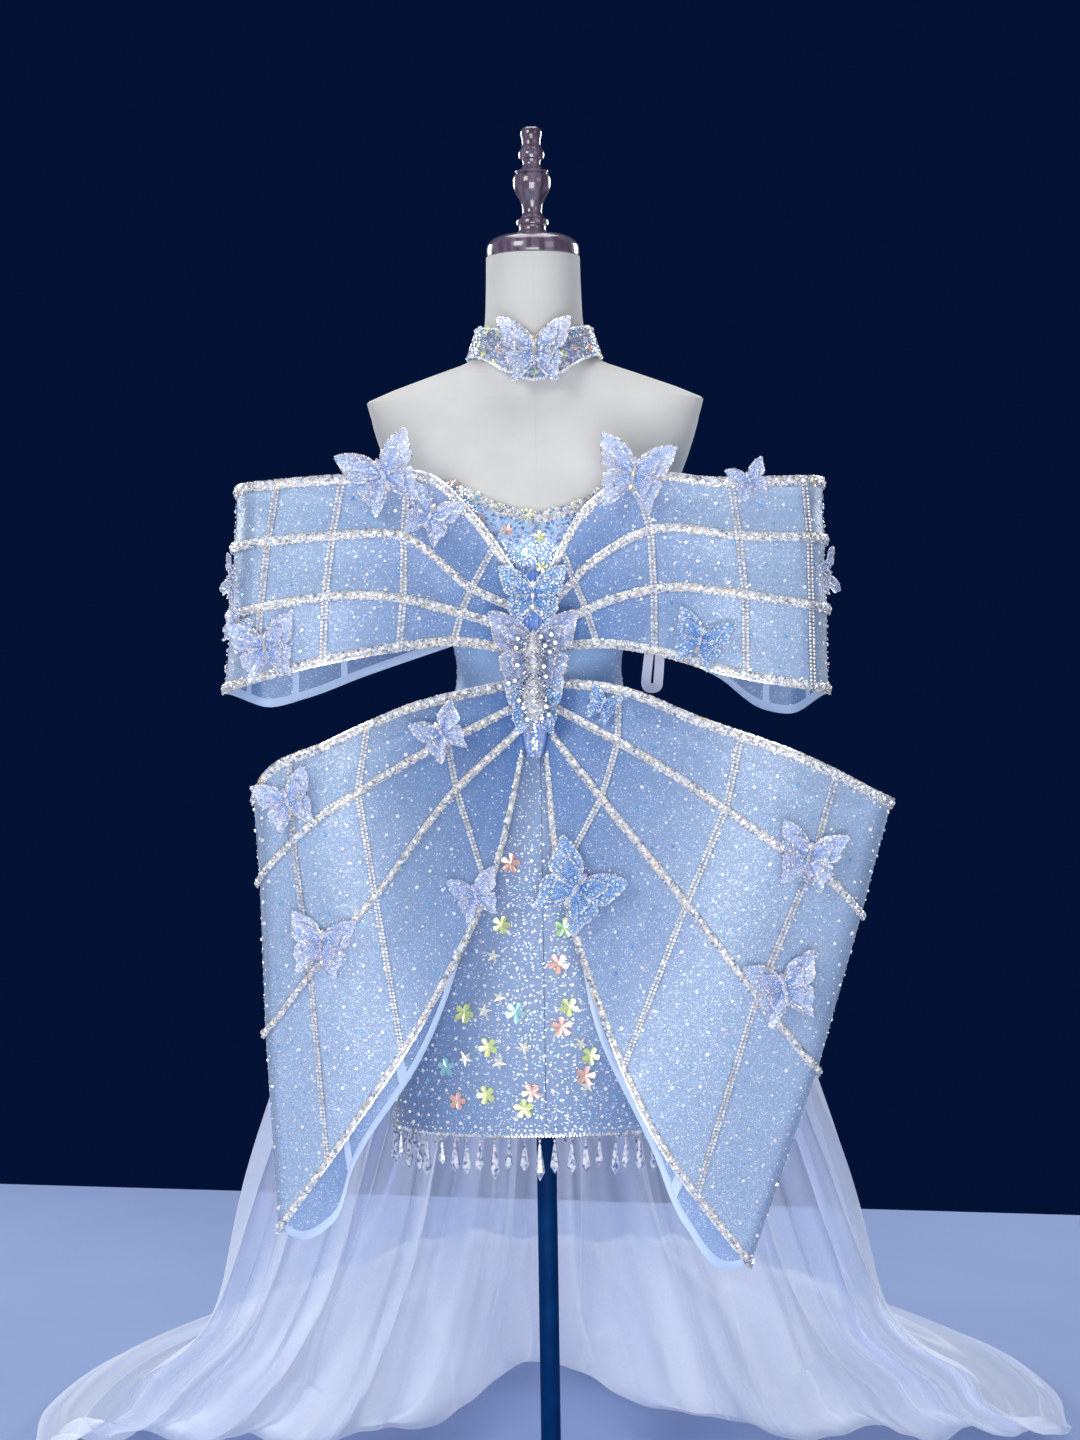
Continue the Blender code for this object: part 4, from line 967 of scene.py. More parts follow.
def merged(name: str, pieces: Sequence[Piece]) -> Piece:
    """Several stone pieces as one piece that keeps their tints and finishes."""
    pieces = [p for p in pieces if len(p.data.vertices)]
    with bpy.context.temp_override(active_object=pieces[0], selected_editable_objects=pieces):
        bpy.ops.object.join()
    pieces[0].name = pieces[0].data.name = name
    return pieces[0]


def settle(piece: Piece, slot: str, *nodes: str) -> Piece:
    """Let a finished piece ride on the body and stand for its nodes."""
    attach(piece, BODY)
    if nodes:
        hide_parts(*nodes)
    log.info("%s: %d faces", piece.name, len(piece.data.polygons))
    return piece


def finished(name: str, parts: Parts, finish: Material, slot: str, *nodes: str,
             sharp: float = 40) -> Piece:
    """Make a piece with make_piece and settle it."""
    return settle(make_piece(name, parts, finish, sharp), slot, *nodes)


def declare(piece: Piece, grid: Array, cut: Flat, held: str, *rests_on: str) -> None:
    """Log what a sheet's grid measures.

    Args:
        piece: the sheet.
        grid: its outer face.
        cut: its width, length and area as cut; not used.
        held: how it is held; not used.
        *rests_on: the nodes that it lies on or hangs from; not used.
    """
    log.info("%s measures %s", piece.name, measured_cloth(grid))


def measured_cloth(grid: Array) -> Flat:
    """A sheet's widest row, longest column and area, for the log."""
    wide = np.linalg.norm(np.diff(grid, axis=1), axis=2).sum(axis=1).max()
    tall = np.linalg.norm(np.diff(grid, axis=0), axis=2).sum(axis=0).max()
    across = (grid[1:, 1:] - grid[:-1, :-1], grid[1:, :-1] - grid[:-1, 1:])
    area = np.linalg.norm(np.cross(*across), axis=2).sum() / 2
    return float(wide), float(tall), float(area)


# ------------------------------------------------------------------ the body's two surfaces

GAP = 0.3 * MM
EASE = 2.6 * MM
BODICE_WALL = 2.0 * MM
WAIST_Z = 1.060
HEM_Z = 0.569


class Ring(NamedTuple):
    """A level section: half its width, its depths and how square it is."""

    z: float
    half_width: float
    front: float
    back: float
    squareness: float


FORM_RINGS = (
    Ring(0.665, 0.128, 0.080, 0.092, 2.2), Ring(0.680, 0.142, 0.092, 0.104, 2.2),
    Ring(0.760, 0.154, 0.098, 0.113, 2.2), Ring(0.860, 0.154, 0.099, 0.113, 2.2),
    Ring(0.950, 0.136, 0.090, 0.100, 2.2), Ring(1.020, 0.107, 0.079, 0.085, 2.2),
    Ring(1.088, 0.090, 0.074, 0.078, 2.2), Ring(1.150, 0.104, 0.082, 0.085, 2.3),
    Ring(1.220, 0.130, 0.094, 0.094, 2.4), Ring(1.280, 0.154, 0.091, 0.096, 2.5),
    Ring(1.335, 0.176, 0.078, 0.090, 2.5), Ring(1.380, 0.189, 0.062, 0.078, 2.5),
    Ring(1.400, 0.191, 0.052, 0.068, 2.4), Ring(1.412, 0.163, 0.050, 0.064, 2.2),
    Ring(1.428, 0.118, 0.051, 0.061, 2.1), Ring(1.442, 0.079, 0.053, 0.058, 2.0),
    Ring(1.456, 0.0635, 0.053, 0.055, 2.0), Ring(1.478, 0.0580, 0.052, 0.053, 2.0),
    Ring(1.520, 0.0550, 0.051, 0.051, 2.0), Ring(1.563, 0.0540, 0.050, 0.050, 2.0),
)
SKIRT_RINGS = (
    Ring(0.569, 0.1750, 0.1200, 0.1220, 2.2), Ring(0.670, 0.1730, 0.1165, 0.1210, 2.2),
    Ring(0.780, 0.1690, 0.1115, 0.1205, 2.2), Ring(0.880, 0.1610, 0.1065, 0.1180, 2.2),
    Ring(0.960, 0.1420, 0.0970, 0.1080, 2.2), Ring(1.020, 0.1160, 0.0865, 0.0930, 2.2),
)
NECKLINE = (                   # degrees round from the centre front, height of the top edge
    (0, 1.262), (12, 1.274), (30, 1.300), (45, 1.300), (65, 1.280), (90, 1.260), (120, 1.244),
    (150, 1.236), (180, 1.233),
)


@dataclass(frozen=True)
class Figure:
    """The form's surface and the skirt's, read at an angle and a height.

    Angle 0 is at +X and -90 degrees is the centre front.
    """

    bust: float = 0.014
    bust_x: float = 0.068
    bust_z: float = 1.232
    bust_wide: float = 0.042
    bust_tall: float = 0.050

    @staticmethod
    def ring_point(table: Sequence[Ring], angle: Array, z: Array, off: float) -> Array:
        """A point off a surface that a table of rings gives."""
        sizes = smooth([r.z for r in table], [r[1:] for r in table], z)
        half_width, front, back, squareness = np.moveaxis(sizes, -1, 0)
        c, s = np.cos(angle), np.sin(angle)
        x = (half_width + off) * np.sign(c) * np.abs(c) ** (2 / squareness)
        y = (np.where(s < 0, front, back) + off) * np.sign(s) * np.abs(s) ** (2 / squareness)
        return np.stack([x, y, z], axis=-1)

    def form(self, angle: Array, z: Array, off: float = 0.0) -> Array:
        """A point on the form, off metres out of it, with its bust."""
        angle, z = np.broadcast_arrays(np.asarray(angle, float), np.asarray(z, float))
        point = self.ring_point(FORM_RINGS, angle, z, off)
        away = ((np.abs(point[..., 0]) - self.bust_x) / self.bust_wide) ** 2
        cup = np.exp(-away - ((z - self.bust_z) / self.bust_tall) ** 2)
        point[..., 1] -= self.bust * cup * np.clip(-np.sin(angle), 0, 1) ** 0.5
        return point

    def skirt_table(self) -> tuple[Ring, ...]:
        """The skirt's rings, with the waist seam's."""
        waist = smooth([r.z for r in FORM_RINGS], [r[1:] for r in FORM_RINGS], WAIST_Z)
        off = EASE + BODICE_WALL
        return (*SKIRT_RINGS, Ring(WAIST_Z, *(waist[:3] + off), waist[3]))

    def skirt(self, angle: Array, z: Array, off: float = 0.0) -> Array:
        """A point on the skirt's outer face, off metres out of it."""
        angle, z = np.broadcast_arrays(np.asarray(angle, float), np.asarray(z, float))
        return self.ring_point(self.skirt_table(), angle, z, off)

    def dress(self, angle: float, z: float, off: float = 0.0) -> Array:
        """A point off the dress: the bodice over the waist seam, the skirt under it."""
        if z >= WAIST_Z:
            return self.form(angle, z, EASE + BODICE_WALL + off)
        return self.skirt(angle, z, off)

    @staticmethod
    def neck_top(angle: Array) -> Array:
        """Height of the bodice's top edge at an angle round it."""
        from_front = np.abs((np.degrees(angle) + 270) % 360 - 180)
        return smooth(*zip(*NECKLINE), from_front)

    def lift(self, x: float, z: float, off: float) -> tuple[Array, Array]:
        """The point over the dress's front at a width and height, and its outward direction."""
        angles = np.linspace(-math.pi + 0.05, -0.05, 400)
        row = np.array([self.dress(a, z, off) for a in angles])
        angle = float(np.interp(x, row[:, 0], angles))
        here, step = self.dress(angle, z, off), 0.01
        round_it = self.dress(angle + step, z, off) - here
        up = self.dress(angle, z + step, off) - here
        return here, unit(np.cross(round_it, up))


FIGURE = Figure()


# ------------------------------------------------------------------ form and stand

@dataclass
class FormAndStand:
    """The limbless torso with its knit cover, its turned cap and finial, the pole and the base."""

    around: int = 96
    rings: int = 66
    pole_end: float = 0.93      # the pole's rounded ends, as a share of its radius
    cap: tuple = (
        (1.5632, 0.0515), (1.5640, 0.0532), (1.5665, 0.0537), (1.5730, 0.0537), (1.5770, 0.0528),
        (1.5800, 0.0506), (1.5835, 0.0470), (1.5865, 0.0400), (1.5885, 0.0300), (1.5905, 0.0215),
        (1.5925, 0.0168), (1.5960, 0.0154), (1.5985, 0.0160), (1.6000, 0.0185), (1.6030, 0.0192),
        (1.6060, 0.0182), (1.6078, 0.0152), (1.6110, 0.0124), (1.6160, 0.0114), (1.6230, 0.0120),
        (1.6300, 0.0150), (1.6370, 0.0192), (1.6440, 0.0219), (1.6520, 0.0224), (1.6570, 0.0208),
        (1.6585, 0.0180), (1.6600, 0.0200), (1.6620, 0.0196), (1.6635, 0.0150), (1.6665, 0.0112),
        (1.6715, 0.0100), (1.6750, 0.0112), (1.6765, 0.0142), (1.6795, 0.0152), (1.6825, 0.0152),
        (1.6855, 0.0146), (1.6880, 0.0122), (1.6930, 0.0108), (1.6985, 0.0110), (1.7030, 0.0122),
        (1.7070, 0.0125), (1.7100, 0.0118), (1.7120, 0.0095),
    )
    base: tuple = (
        (0.0000, 0.1670), (0.0006, 0.1690), (0.0030, 0.1700), (0.0080, 0.1700), (0.0100, 0.1692),
        (0.0115, 0.1660), (0.0124, 0.1580), (0.0132, 0.1420), (0.0148, 0.1100), (0.0165, 0.0720),
        (0.0180, 0.0500), (0.0200, 0.0360), (0.0226, 0.0260), (0.0260, 0.0212), (0.0330, 0.0190),
        (0.0440, 0.0182), (0.0480, 0.0178), (0.0500, 0.0160),
    )

    def build(self, wear: Wardrobe) -> None:
        """Build the torso, cap, pole and base."""
        marks = [r.z for r in FORM_RINGS]
        even = marks[0] + (marks[-1] - marks[0]) * np.linspace(0, 1, self.rings)
        heights = np.unique(np.concatenate([even, marks]))
        rows = FIGURE.form(turns(self.around)[None, :], heights[:, None])
        size = len(heights), self.around
        finished("form_cover", (rows.reshape(-1, 3), capped_faces(*size), grid_uv(*size)),
                 wear.cover, "form_cover", "form_torso")
        finished("neck_cap_and_finial", turned_mesh(self.cap, 64)[:2], wear.wood, "dark_wood",
                 "neck_cap_finial")
        low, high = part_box("stand_pole")
        radius, end = high.x, high.x * self.pole_end
        pole = ((low.z, end), (low.z + 1 * MM, radius), (high.z - 1 * MM, radius), (high.z, end))
        finished("pole", turned_mesh(pole, 48)[:2], wear.paint, "stand_paint", "stand_pole")
        finished("round_base", turned_mesh(self.base, 96)[:2], wear.paint, "stand_paint",
                 "stand_base")


# ------------------------------------------------------------------ bodice and skirt

LIME, CORAL, MINT, GREEN, GOLD = 0.1, 0.4, 0.65, 0.8, 0.95     # the sequins' tints
FRONT_SEQUINS = {              # the skirt front's large sequins: x and z in mm, and tint
    Cut.FLOWER: (
        (-35, 872, CORAL), (-46, 804, LIME), (23, 800, GREEN), (16, 760, CORAL), (-89, 705, LIME),
        (-32, 707, MINT), (27, 712, LIME), (19, 690, CORAL), (-63, 668, LIME), (-110, 644, MINT),
        (-66, 615, LIME), (-16, 618, CORAL), (-24, 600, LIME), (-98, 607, CORAL), (50, 657, LIME),
        (44, 635, CORAL),
    ),
    Cut.STAR: (
        (-56, 769, GOLD), (-50, 723, GOLD), (-67, 708, GOLD), (-88, 655, GOLD), (-23, 668, GOLD),
        (-51, 651, GOLD), (39, 671, GOLD), (46, 624, GOLD),
    ),
}


@dataclass
class DressBody:
    """Four bodice panels and four skirt panels with their stones, trims, zip strip and drops."""

    quarters: tuple = (
        ("back_right", 0), ("back_left", 90), ("front_left", 180), ("front_right", 270),
    )
    cells: int = 28
    bodice_rows: int = 30
    skirt_rows: int = 44
    skirt_wall: float = 1.4 * MM
    trim_tall: float = 12 * MM
    hem_tall: float = 9 * MM
    flower_wide: float = 24     # mm
    star_wide: float = 19       # mm
    zip_span: tuple[float, float] = (1.050, 1.220)
    bodice_front_cut: Flat = (0.23, 0.255, 0.0400)
    bodice_back_cut: Flat = (0.205, 0.21, 0.0310)
    skirt_cut: Flat = (0.24, 0.505, 0.1080)

    def angles(self, first: float, radius: float) -> Array:
        """Angles across a quarter, half a gap short of each seam."""
        short = GAP / 2 / radius
        start = math.radians(first) + short
        return np.linspace(start, start + math.pi / 2 - 2 * short, self.cells + 1)

    def bodice_grid(self, angles: Array, off: float, low: float = 1.0) -> Array:
        """The bodice's face from its top edge down to a share of its height."""
        top = FIGURE.neck_top(angles)
        rows = np.linspace(0, low, self.bodice_rows + 1)[:, None]
        heights = top + (WAIST_Z + GAP / 2 - top) * rows
        return FIGURE.form(angles[None, :], heights, EASE + off)

    def skirt_grid(self, angles: Array, off: float, top: float = WAIST_Z - GAP / 2) -> Array:
        """The skirt's face from a height down to the hem."""
        heights = np.linspace(top, HEM_Z, self.skirt_rows + 1)[:, None]
        return FIGURE.skirt(angles[None, :], heights, off)

    def build(self, wear: Wardrobe, sewing: Sewing) -> None:
        """Build the panels and sew on all that they carry."""
        for name, first in self.quarters:
            angles = self.angles(first, 0.12)
            outer = self.bodice_grid(angles, BODICE_WALL)
            panel = finished("bodice_panel_" + name,
                             wall_mesh(outer, self.bodice_grid(angles, 0.6 * MM)), wear.satin,
                             "sequin_cloth", "bodice_" + name)
            cut = self.bodice_front_cut if "front" in name else self.bodice_back_cut
            declare(panel, outer, cut, "stretched", "form_torso")
            angles = self.angles(first, 0.14)
            outer = self.skirt_grid(angles, 0)
            panel = finished("skirt_panel_" + name,
                             wall_mesh(outer, self.skirt_grid(angles, -self.skirt_wall)),
                             wear.skirt_satin, "sequin_cloth", "skirt_" + name)
            declare(panel, outer, self.skirt_cut, "hung", "bodice_" + name)
        self.sew_bodice(wear, sewing)
        self.sew_skirt(wear, sewing)
        self.build_zip(wear)
        self.build_hem(wear, sewing)

    def sew_bodice(self, wear: Wardrobe, sewing: Sewing) -> None:
        """Crust the bodice's front with stones, bugles and sequins, and line its top edge."""
        angles = np.linspace(math.radians(183), math.radians(357), 60)
        crust = face_mesh(self.bodice_grid(angles, BODICE_WALL, 0.92))
        upper = face_mesh(self.bodice_grid(angles, BODICE_WALL, 0.45))
        settle(merged("bodice_stones", [
            sewing.scatter(upper, Cut.CHATON, wear.crust, 8.0, (3.2, 6.0), 11),
            sewing.scatter(upper, Cut.BUGLE, wear.jewels, 5.6, (3.0, 4.6), 12),
            sewing.scatter(upper, Cut.CHATON, wear.crust, 4.2, (3.0, 5.0), 16),
            sewing.scatter(upper, Cut.FLOWER, wear.sequins, 27, (11, 15), 13),
            sewing.scatter(crust, Cut.CHATON, wear.stones, 13, (1.6, 3.0), 14),
            sewing.scatter(crust, Cut.BUGLE, wear.silver, 9, (1.4, 2.4), 15),
        ]), "crystal")
        angles = np.linspace(math.radians(181.5), math.radians(358.5), 90)
        rows = np.array([0.0, 0.35, 0.7, 1.0])[:, None] * self.trim_tall
        heights = FIGURE.neck_top(angles) - rows

        def face(off: float) -> Array:
            """The trim's face, off metres out of the bodice."""
            return FIGURE.form(angles[None, :], heights, EASE + BODICE_WALL + off)

        finished("neckline_tape", wall_mesh(face(1.2 * MM), face(GAP)), wear.tape,
                 "silver_beads", "neckline_trim")
        top_line = face(1.0 * MM)[0]
        edge = np.tile([0.0, -0.3, 0.95], (len(top_line), 1))
        low, high = face_mesh(face(1.2 * MM)), face_mesh(face(1.8 * MM))
        settle(merged("neckline_stones", [
            sewing.scatter(low, Cut.CHATON, wear.silver, 3.4, (2.4, 4.4), 21),
            sewing.scatter(high, Cut.CHATON, wear.stones, 9, (3.5, 5.5), 22),
            sewing.string([(top_line, edge)], Cut.BEAD, wear.silver, 2.6, (2.2, 3.6), 23,
                          spin=6.0),
        ]), "silver_beads")

    @staticmethod
    def large_sequins(cut: Cut, size: float, wear: Wardrobe, sewing: Sewing) -> list[Piece]:
        """The skirt front's placed flowers or stars, each on the cloth at its own turn."""
        placed = []
        for number, (x, z, tint) in enumerate(FRONT_SEQUINS[cut]):
            here, out = FIGURE.lift(x * MM, z * MM, 0.6 * MM)
            ahead = here + unit(np.cross([0, 0, 1], out)) * 0.2 * MM
            placed.append(sewing.string(
                [(np.array([here, ahead]), np.array([out, out]))], cut, wear.sequins, ALONE,
                (size * 0.85, size), 60 + number, (tint, tint), spin=6.283))
        return placed

    def sew_skirt(self, wear: Wardrobe, sewing: Sewing) -> None:
        """Strew the skirt with flower and star sequins, bugles and small stones."""
        placed = self.large_sequins(Cut.FLOWER, self.flower_wide, wear, sewing)
        placed += self.large_sequins(Cut.STAR, self.star_wide, wear, sewing)
        settle(merged("skirt_front_sequins", placed), "sequin_cloth")
        around = np.linspace(math.radians(-15), math.radians(195), 70)
        sides = face_mesh(self.skirt_grid(around, 0.6 * MM, 0.93))
        around = np.linspace(-math.pi, math.pi, 120)
        whole, low = (face_mesh(self.skirt_grid(around, 0.2 * MM, top)) for top in (1.0, 0.84))
        settle(merged("skirt_back_and_side_sequins", [
            sewing.scatter(sides, Cut.FLOWER, wear.sequins, 42, (14, 17), 31, (0.0, 0.88)),
            sewing.scatter(sides, Cut.STAR, wear.sequins, 58, (12, 15), 32, (0.92, 1.0)),
        ]), "sequin_cloth")
        settle(merged("skirt_stones", [
            sewing.scatter(whole, Cut.CHATON, wear.stones, 12, (2.8, 5.0), 33, (0.0, 0.9)),
            sewing.scatter(low, Cut.BUGLE, wear.silver, 11, (3.0, 5.2), 34),
            sewing.scatter(whole, Cut.BUGLE, wear.silver, 8.5, (1.2, 2.2), 35),
        ]), "crystal")

    def build_zip(self, wear: Wardrobe) -> None:
        """The concealed closure's strip over the centre-back seam, with its two rolled edges."""
        half = 5.0 * MM / 0.09
        angles = math.radians(90) + np.linspace(-half, half, 13)
        heights = np.linspace(self.zip_span[1], self.zip_span[0], 60)
        ridge = 0.5 * MM * np.abs(np.sin(np.linspace(-math.pi, math.pi, 13)))

        def face(rise: Array) -> Array:
            """The strip's face, raised out of the dress as its columns say."""
            return np.array([[FIGURE.dress(a, z, r) for a, r in zip(angles, rise)]
                             for z in heights])

        finished("closure_strip", wall_mesh(face(0.9 * MM + ridge), face(GAP + 0 * ridge)),
                 wear.satin, "sequin_cloth", "back_zip")

    def build_hem(self, wear: Wardrobe, sewing: Sewing) -> None:
        """The beaded hem trim and the crystal drops that hang from it."""
        angles = np.linspace(-math.pi, math.pi, 180, endpoint=False)
        heights = np.linspace(HEM_Z + self.hem_tall, HEM_Z, 5)[:, None]

        def face(off: float) -> Array:
            """The trim's face, off metres out of the skirt."""
            return FIGURE.skirt(angles[None, :], heights, off)

        finished("hem_tape", wall_mesh(face(1.0 * MM), face(GAP), closed=True),
                 wear.skirt_satin, "silver_beads", "hem_bead_trim")
        outer = face(1.2 * MM)
        ring = np.concatenate([outer, outer[:, :1]], axis=1)
        out = grid_normals(ring)
        foot, upper = (ring[-1], out[-1]), (ring[3], out[3])
        settle(merged("hem_beads", [
            sewing.scatter(face_mesh(ring), Cut.CHATON, wear.stones, 8.0, (2.0, 3.6), 41,
                           (0.0, 0.7)),
            sewing.string([foot], Cut.CHATON, wear.silver, 3.8, (2.8, 5.0), 42, spin=6.0),
            sewing.string([upper], Cut.BEAD, wear.silver, 5.4, (2.0, 3.0), 43, spin=6.0),
        ]), "silver_beads")
        CrystalDrops().build(*foot, wear)


@dataclass
class CrystalDrops:
    """Drops round the hem: a small ring, a bead and a long faceted pendant each."""

    count: int = 58
    longest: float = 50 * MM
    shortest: float = 32 * MM
    wire: float = 0.35 * MM
    ring_radius: float = 1.9 * MM
    widest: float = 11 * MM
    profile: tuple = ((0.0, 0.0), (0.24, 0.5), (0.80, 0.20), (0.93, 0.15), (1.0, 0.0))
    bead: tuple = ((0.2, 0.0), (1.1, 1.5), (2.6, 1.5), (3.5, 0.0))      # mm

    def pendant(self, length: float) -> Parts:
        """A six-sided pendant that hangs from the origin, with its bead."""
        wide = min(self.widest, 0.34 * length)
        drop = [(z * length - length, r * wide) for z, r in self.profile]
        bead = [(z * MM, r * MM) for z, r in self.bead]
        return joined([turned_mesh([(z, max(r, 0.1 * MM)) for z, r in body], 6)
                       for body in (drop, bead)])

    def link(self) -> Parts:
        """A wire ring in the XZ plane over the bead."""
        turn, tube = turns(12), turns(4)
        radius = self.ring_radius + self.wire * np.cos(tube)
        points = np.stack([
            np.outer(np.sin(turn), radius), np.tile(self.wire * np.sin(tube), (len(turn), 1)),
            np.outer(np.cos(turn), radius) + 3.4 * MM + self.ring_radius,
        ], axis=-1)
        return face_mesh(np.concatenate([points, points[:1]]), closed=True)

    def build(self, hem: Array, out: Array, wear: Wardrobe) -> None:
        """Hang the drops along the hem's line.

        Args:
            hem: the line's points.
            out: its outward directions.
            wear: the finishes.
        """
        rng = np.random.default_rng(7)
        places = (np.arange(self.count) + rng.uniform(-0.16, 0.16, self.count)) / self.count % 1.0
        glass, metal = [], []
        for spot, away in zip(along(hem, places), along(out, places)):
            length = rng.uniform(self.shortest, self.longest) - 7 * MM
            angle = math.atan2(away[1], away[0]) + math.pi / 2 + rng.uniform(-0.2, 0.2)
            c, s = math.cos(angle), math.sin(angle)
            turn = np.array([[c, s, 0], [-s, c, 0], [0, 0, 1]])
            swing = np.array([rng.uniform(-0.03, 0.03) * length, 0, 0])
            foot = spot - away * 0.6 * MM - np.array([0, 0, 7.4 * MM])
            for parts, kept in ((self.pendant(length), glass), (self.link(), metal)):
                points = parts[0] @ turn + foot
                points += swing * (parts[0][:, 2:] / -length).clip(0, 1)
                kept.append((points, *parts[1:]))
        finished("crystal_drops", joined(glass)[:2], wear.glass, "crystal",
                 "crystal_drop_fringe", sharp=0)
        finished("drop_links", joined(metal)[:2], wear.tape, "silver_beads")


# ------------------------------------------------------------------ bow

class Bone(NamedTuple):
    """A bone from the knot to the loop's outer turn.

    route is (x, z) in mm, x counted outwards. near_y, middle_y and far_y are its depth in mm at
    25%, 60% and 100% of its length; turn_x and turn_y are the half axes of its outer turn.
    """

    start_z: float
    route: tuple
    near_y: float
    middle_y: float
    far_y: float
    turn_x: float
    turn_y: float


class BackEdge(NamedTuple):
    """A back panel's edge, from the outer turn to the body at seam_angle and seam_z (mm)."""

    route: tuple
    middle_y: float
    seam_angle: float
    seam_z: float


KNOT_X = -0.006
KNOT_BOTTOM, KNOT_TOP = 0.992, 1.196
KNOT_END_HALF, KNOT_WAIST_HALF = 0.008, 0.021
KNOT_DEPTH = 0.042
KNOT_CLEAR = 0.8 * MM
SEAM_CLEAR = 1.1 * MM
BACK_CLEAR = 14 * MM


def knot_half(z: Array | float) -> Array:
    """Half the knot's width at a height."""
    share = np.clip((z - KNOT_BOTTOM) / (KNOT_TOP - KNOT_BOTTOM), 0, 1)
    return KNOT_END_HALF + (KNOT_WAIST_HALF - KNOT_END_HALF) * np.sin(math.pi * share) ** 0.7


def knot_back(z: float) -> float:
    """Depth of the knot's back, just clear of the dress."""
    return float(FIGURE.dress(-math.pi / 2, z)[1]) - KNOT_CLEAR


def knot_deep(z: float) -> float:
    """The knot's depth at a height."""
    share = (z - KNOT_BOTTOM) / (KNOT_TOP - KNOT_BOTTOM)
    return KNOT_DEPTH * (0.62 + 0.38 * math.sin(math.pi * share))


@dataclass
class BowLoop:
    """One boned loop of sheer organza: a front panel, a back panel and their bands."""

    name: str
    side: int
    clears_skirt: bool
    bones: tuple[Bone, ...]
    back_edges: tuple[BackEdge, BackEdge]       # top and bottom
    crossings: tuple            # where each cross band meets the bones: x in mm, counted outwards
    front_cut: Flat
    back_cut: Flat
    seed: int
    samples: int = 90
    turn_samples: int = 24
    columns: int = 96
    band_wide: float = 10 * MM
    cross_wide: float = 8 * MM
    row_spread: float = 0.3     # how far the two rows of stones stand out from the band's quarters
    film: float = 0.6 * MM
    sag: float = 1.6 * MM
    back_strips: tuple[float, ...] = (0.22, 0.40, 0.58)

    def __post_init__(self) -> None:
        """Work out the four bones' curves and where the cross bands meet them."""
        self.label, self.flip = "bow_" + self.name, self.side < 0
        self.curves = [self.bone_curve(bone) for bone in self.bones]
        stops = []
        for curve, x_values in zip(self.curves, zip(*self.crossings)):
            run = lengths(curve)
            total = np.linalg.norm(np.diff(curve, axis=0), axis=1).sum()
            shares = [0.0]
            for x in x_values:
                at = float(np.interp(x * MM, self.side * curve[:, 0], run))
                half, before = self.cross_wide / 2 / total, shares[-1]
                shares += [before + (at - half - before) * 0.5, at - half, at + half]
            before = shares[-1]
            stops.append(shares + [before + (1 - before) * 0.55, 1.0])
        self.stops = np.array(stops)
        self.even = self.stops.mean(axis=0)
        self.crossed = [2 + 3 * i for i in range(len(self.crossings))]

    def bone_curve(self, bone: Bone) -> Array:
        """A bone's dense curve."""
        start_z = bone.start_z * MM
        start_x = self.side * KNOT_X + float(knot_half(start_z)) + KNOT_CLEAR
        flat = np.array([(start_x, start_z)] + [(x * MM, z * MM) for x, z in bone.route])
        dense = smooth(lengths(flat), flat, np.linspace(0, 1, 400))
        reach, turn = flat[-1, 0], bone.turn_x * MM
        bend = np.linspace(0, math.pi / 2, self.turn_samples)
        straight = np.linspace(start_x, reach - turn, self.samples)
        x = np.concatenate([straight[:-1], reach - turn + turn * np.sin(bend)])
        z = np.interp(x, dense[:, 0], dense[:, 1])
        part = np.interp(x, dense[:, 0], np.linspace(0, 1, 400))
        start_y = knot_back(start_z) - KNOT_DEPTH * 0.45
        depths = [start_y, bone.near_y * MM, bone.middle_y * MM, bone.far_y * MM]
        y = smooth([0, 0.25, 0.60, 1.0], depths, part)
        y[self.samples - 1:] += bone.turn_y * MM * (1 - np.cos(bend))
        return np.stack([self.side * x, y, z], axis=1)

    def front(self, v: Array, u: Array) -> Array:
        """The front panel's points: rows at v from bone 0 to 3, columns at u from knot to turn."""
        bones = np.stack([along(curve, np.interp(u, self.even, stop))
                          for curve, stop in zip(self.curves, self.stops)])
        low = np.clip(np.floor(v).astype(int), 0, len(bones) - 2)
        part = (v - low)[:, None, None]
        return bones[low] * (1 - part) + bones[low + 1] * part

    def front_normals(self, v: Array, u: Array) -> Array:
        """The front panel's outward normals, eased over the bones."""
        dv, du = 0.06, 0.012
        v0, v1 = np.clip(v - dv, 0, 3), np.clip(v + dv, 0, 3)
        u0, u1 = np.clip(u - du, 0, 1), np.clip(u + du, 0, 1)
        down = self.front(v1, u) - self.front(v0, u)
        ahead = self.front(v, u1) - self.front(v, u0)
        return self.side * unit(np.cross(down, ahead))

    def edge_curve(self, bone: Bone, edge: BackEdge, start: Array) -> Array:
        """A back panel's dense edge, from the outer turn round to its seam on the body."""
        side = self.side
        end = FIGURE.dress(math.radians(-90 + side * edge.seam_angle), edge.seam_z * MM, SEAM_CLEAR)
        turn_x, turn_y = bone.turn_x * MM, bone.turn_y * MM
        route = [(side * start[0], start[2])] + [(x * MM, z * MM) for x, z in edge.route]
        flat = np.array(route + [(side * end[0], end[2])])
        dense = smooth(lengths(flat), flat, np.linspace(0, 1, 400))
        bend = np.linspace(0, math.pi / 2, self.turn_samples)
        reach = side * start[0]
        x = np.concatenate([
            reach - turn_x + turn_x * np.cos(bend),
            np.linspace(reach - turn_x, side * end[0], self.samples)[1:],
        ])
        z = np.interp(-x, -dense[:, 0], dense[:, 1])
        part = np.linspace(0, 1, self.samples)[1:]
        y = np.concatenate([
            start[1] + turn_y * np.sin(bend),
            smooth([0, 0.5, 1.0], [start[1] + turn_y, edge.middle_y * MM, end[1]], part),
        ])
        return np.stack([side * x, y, z], axis=1)

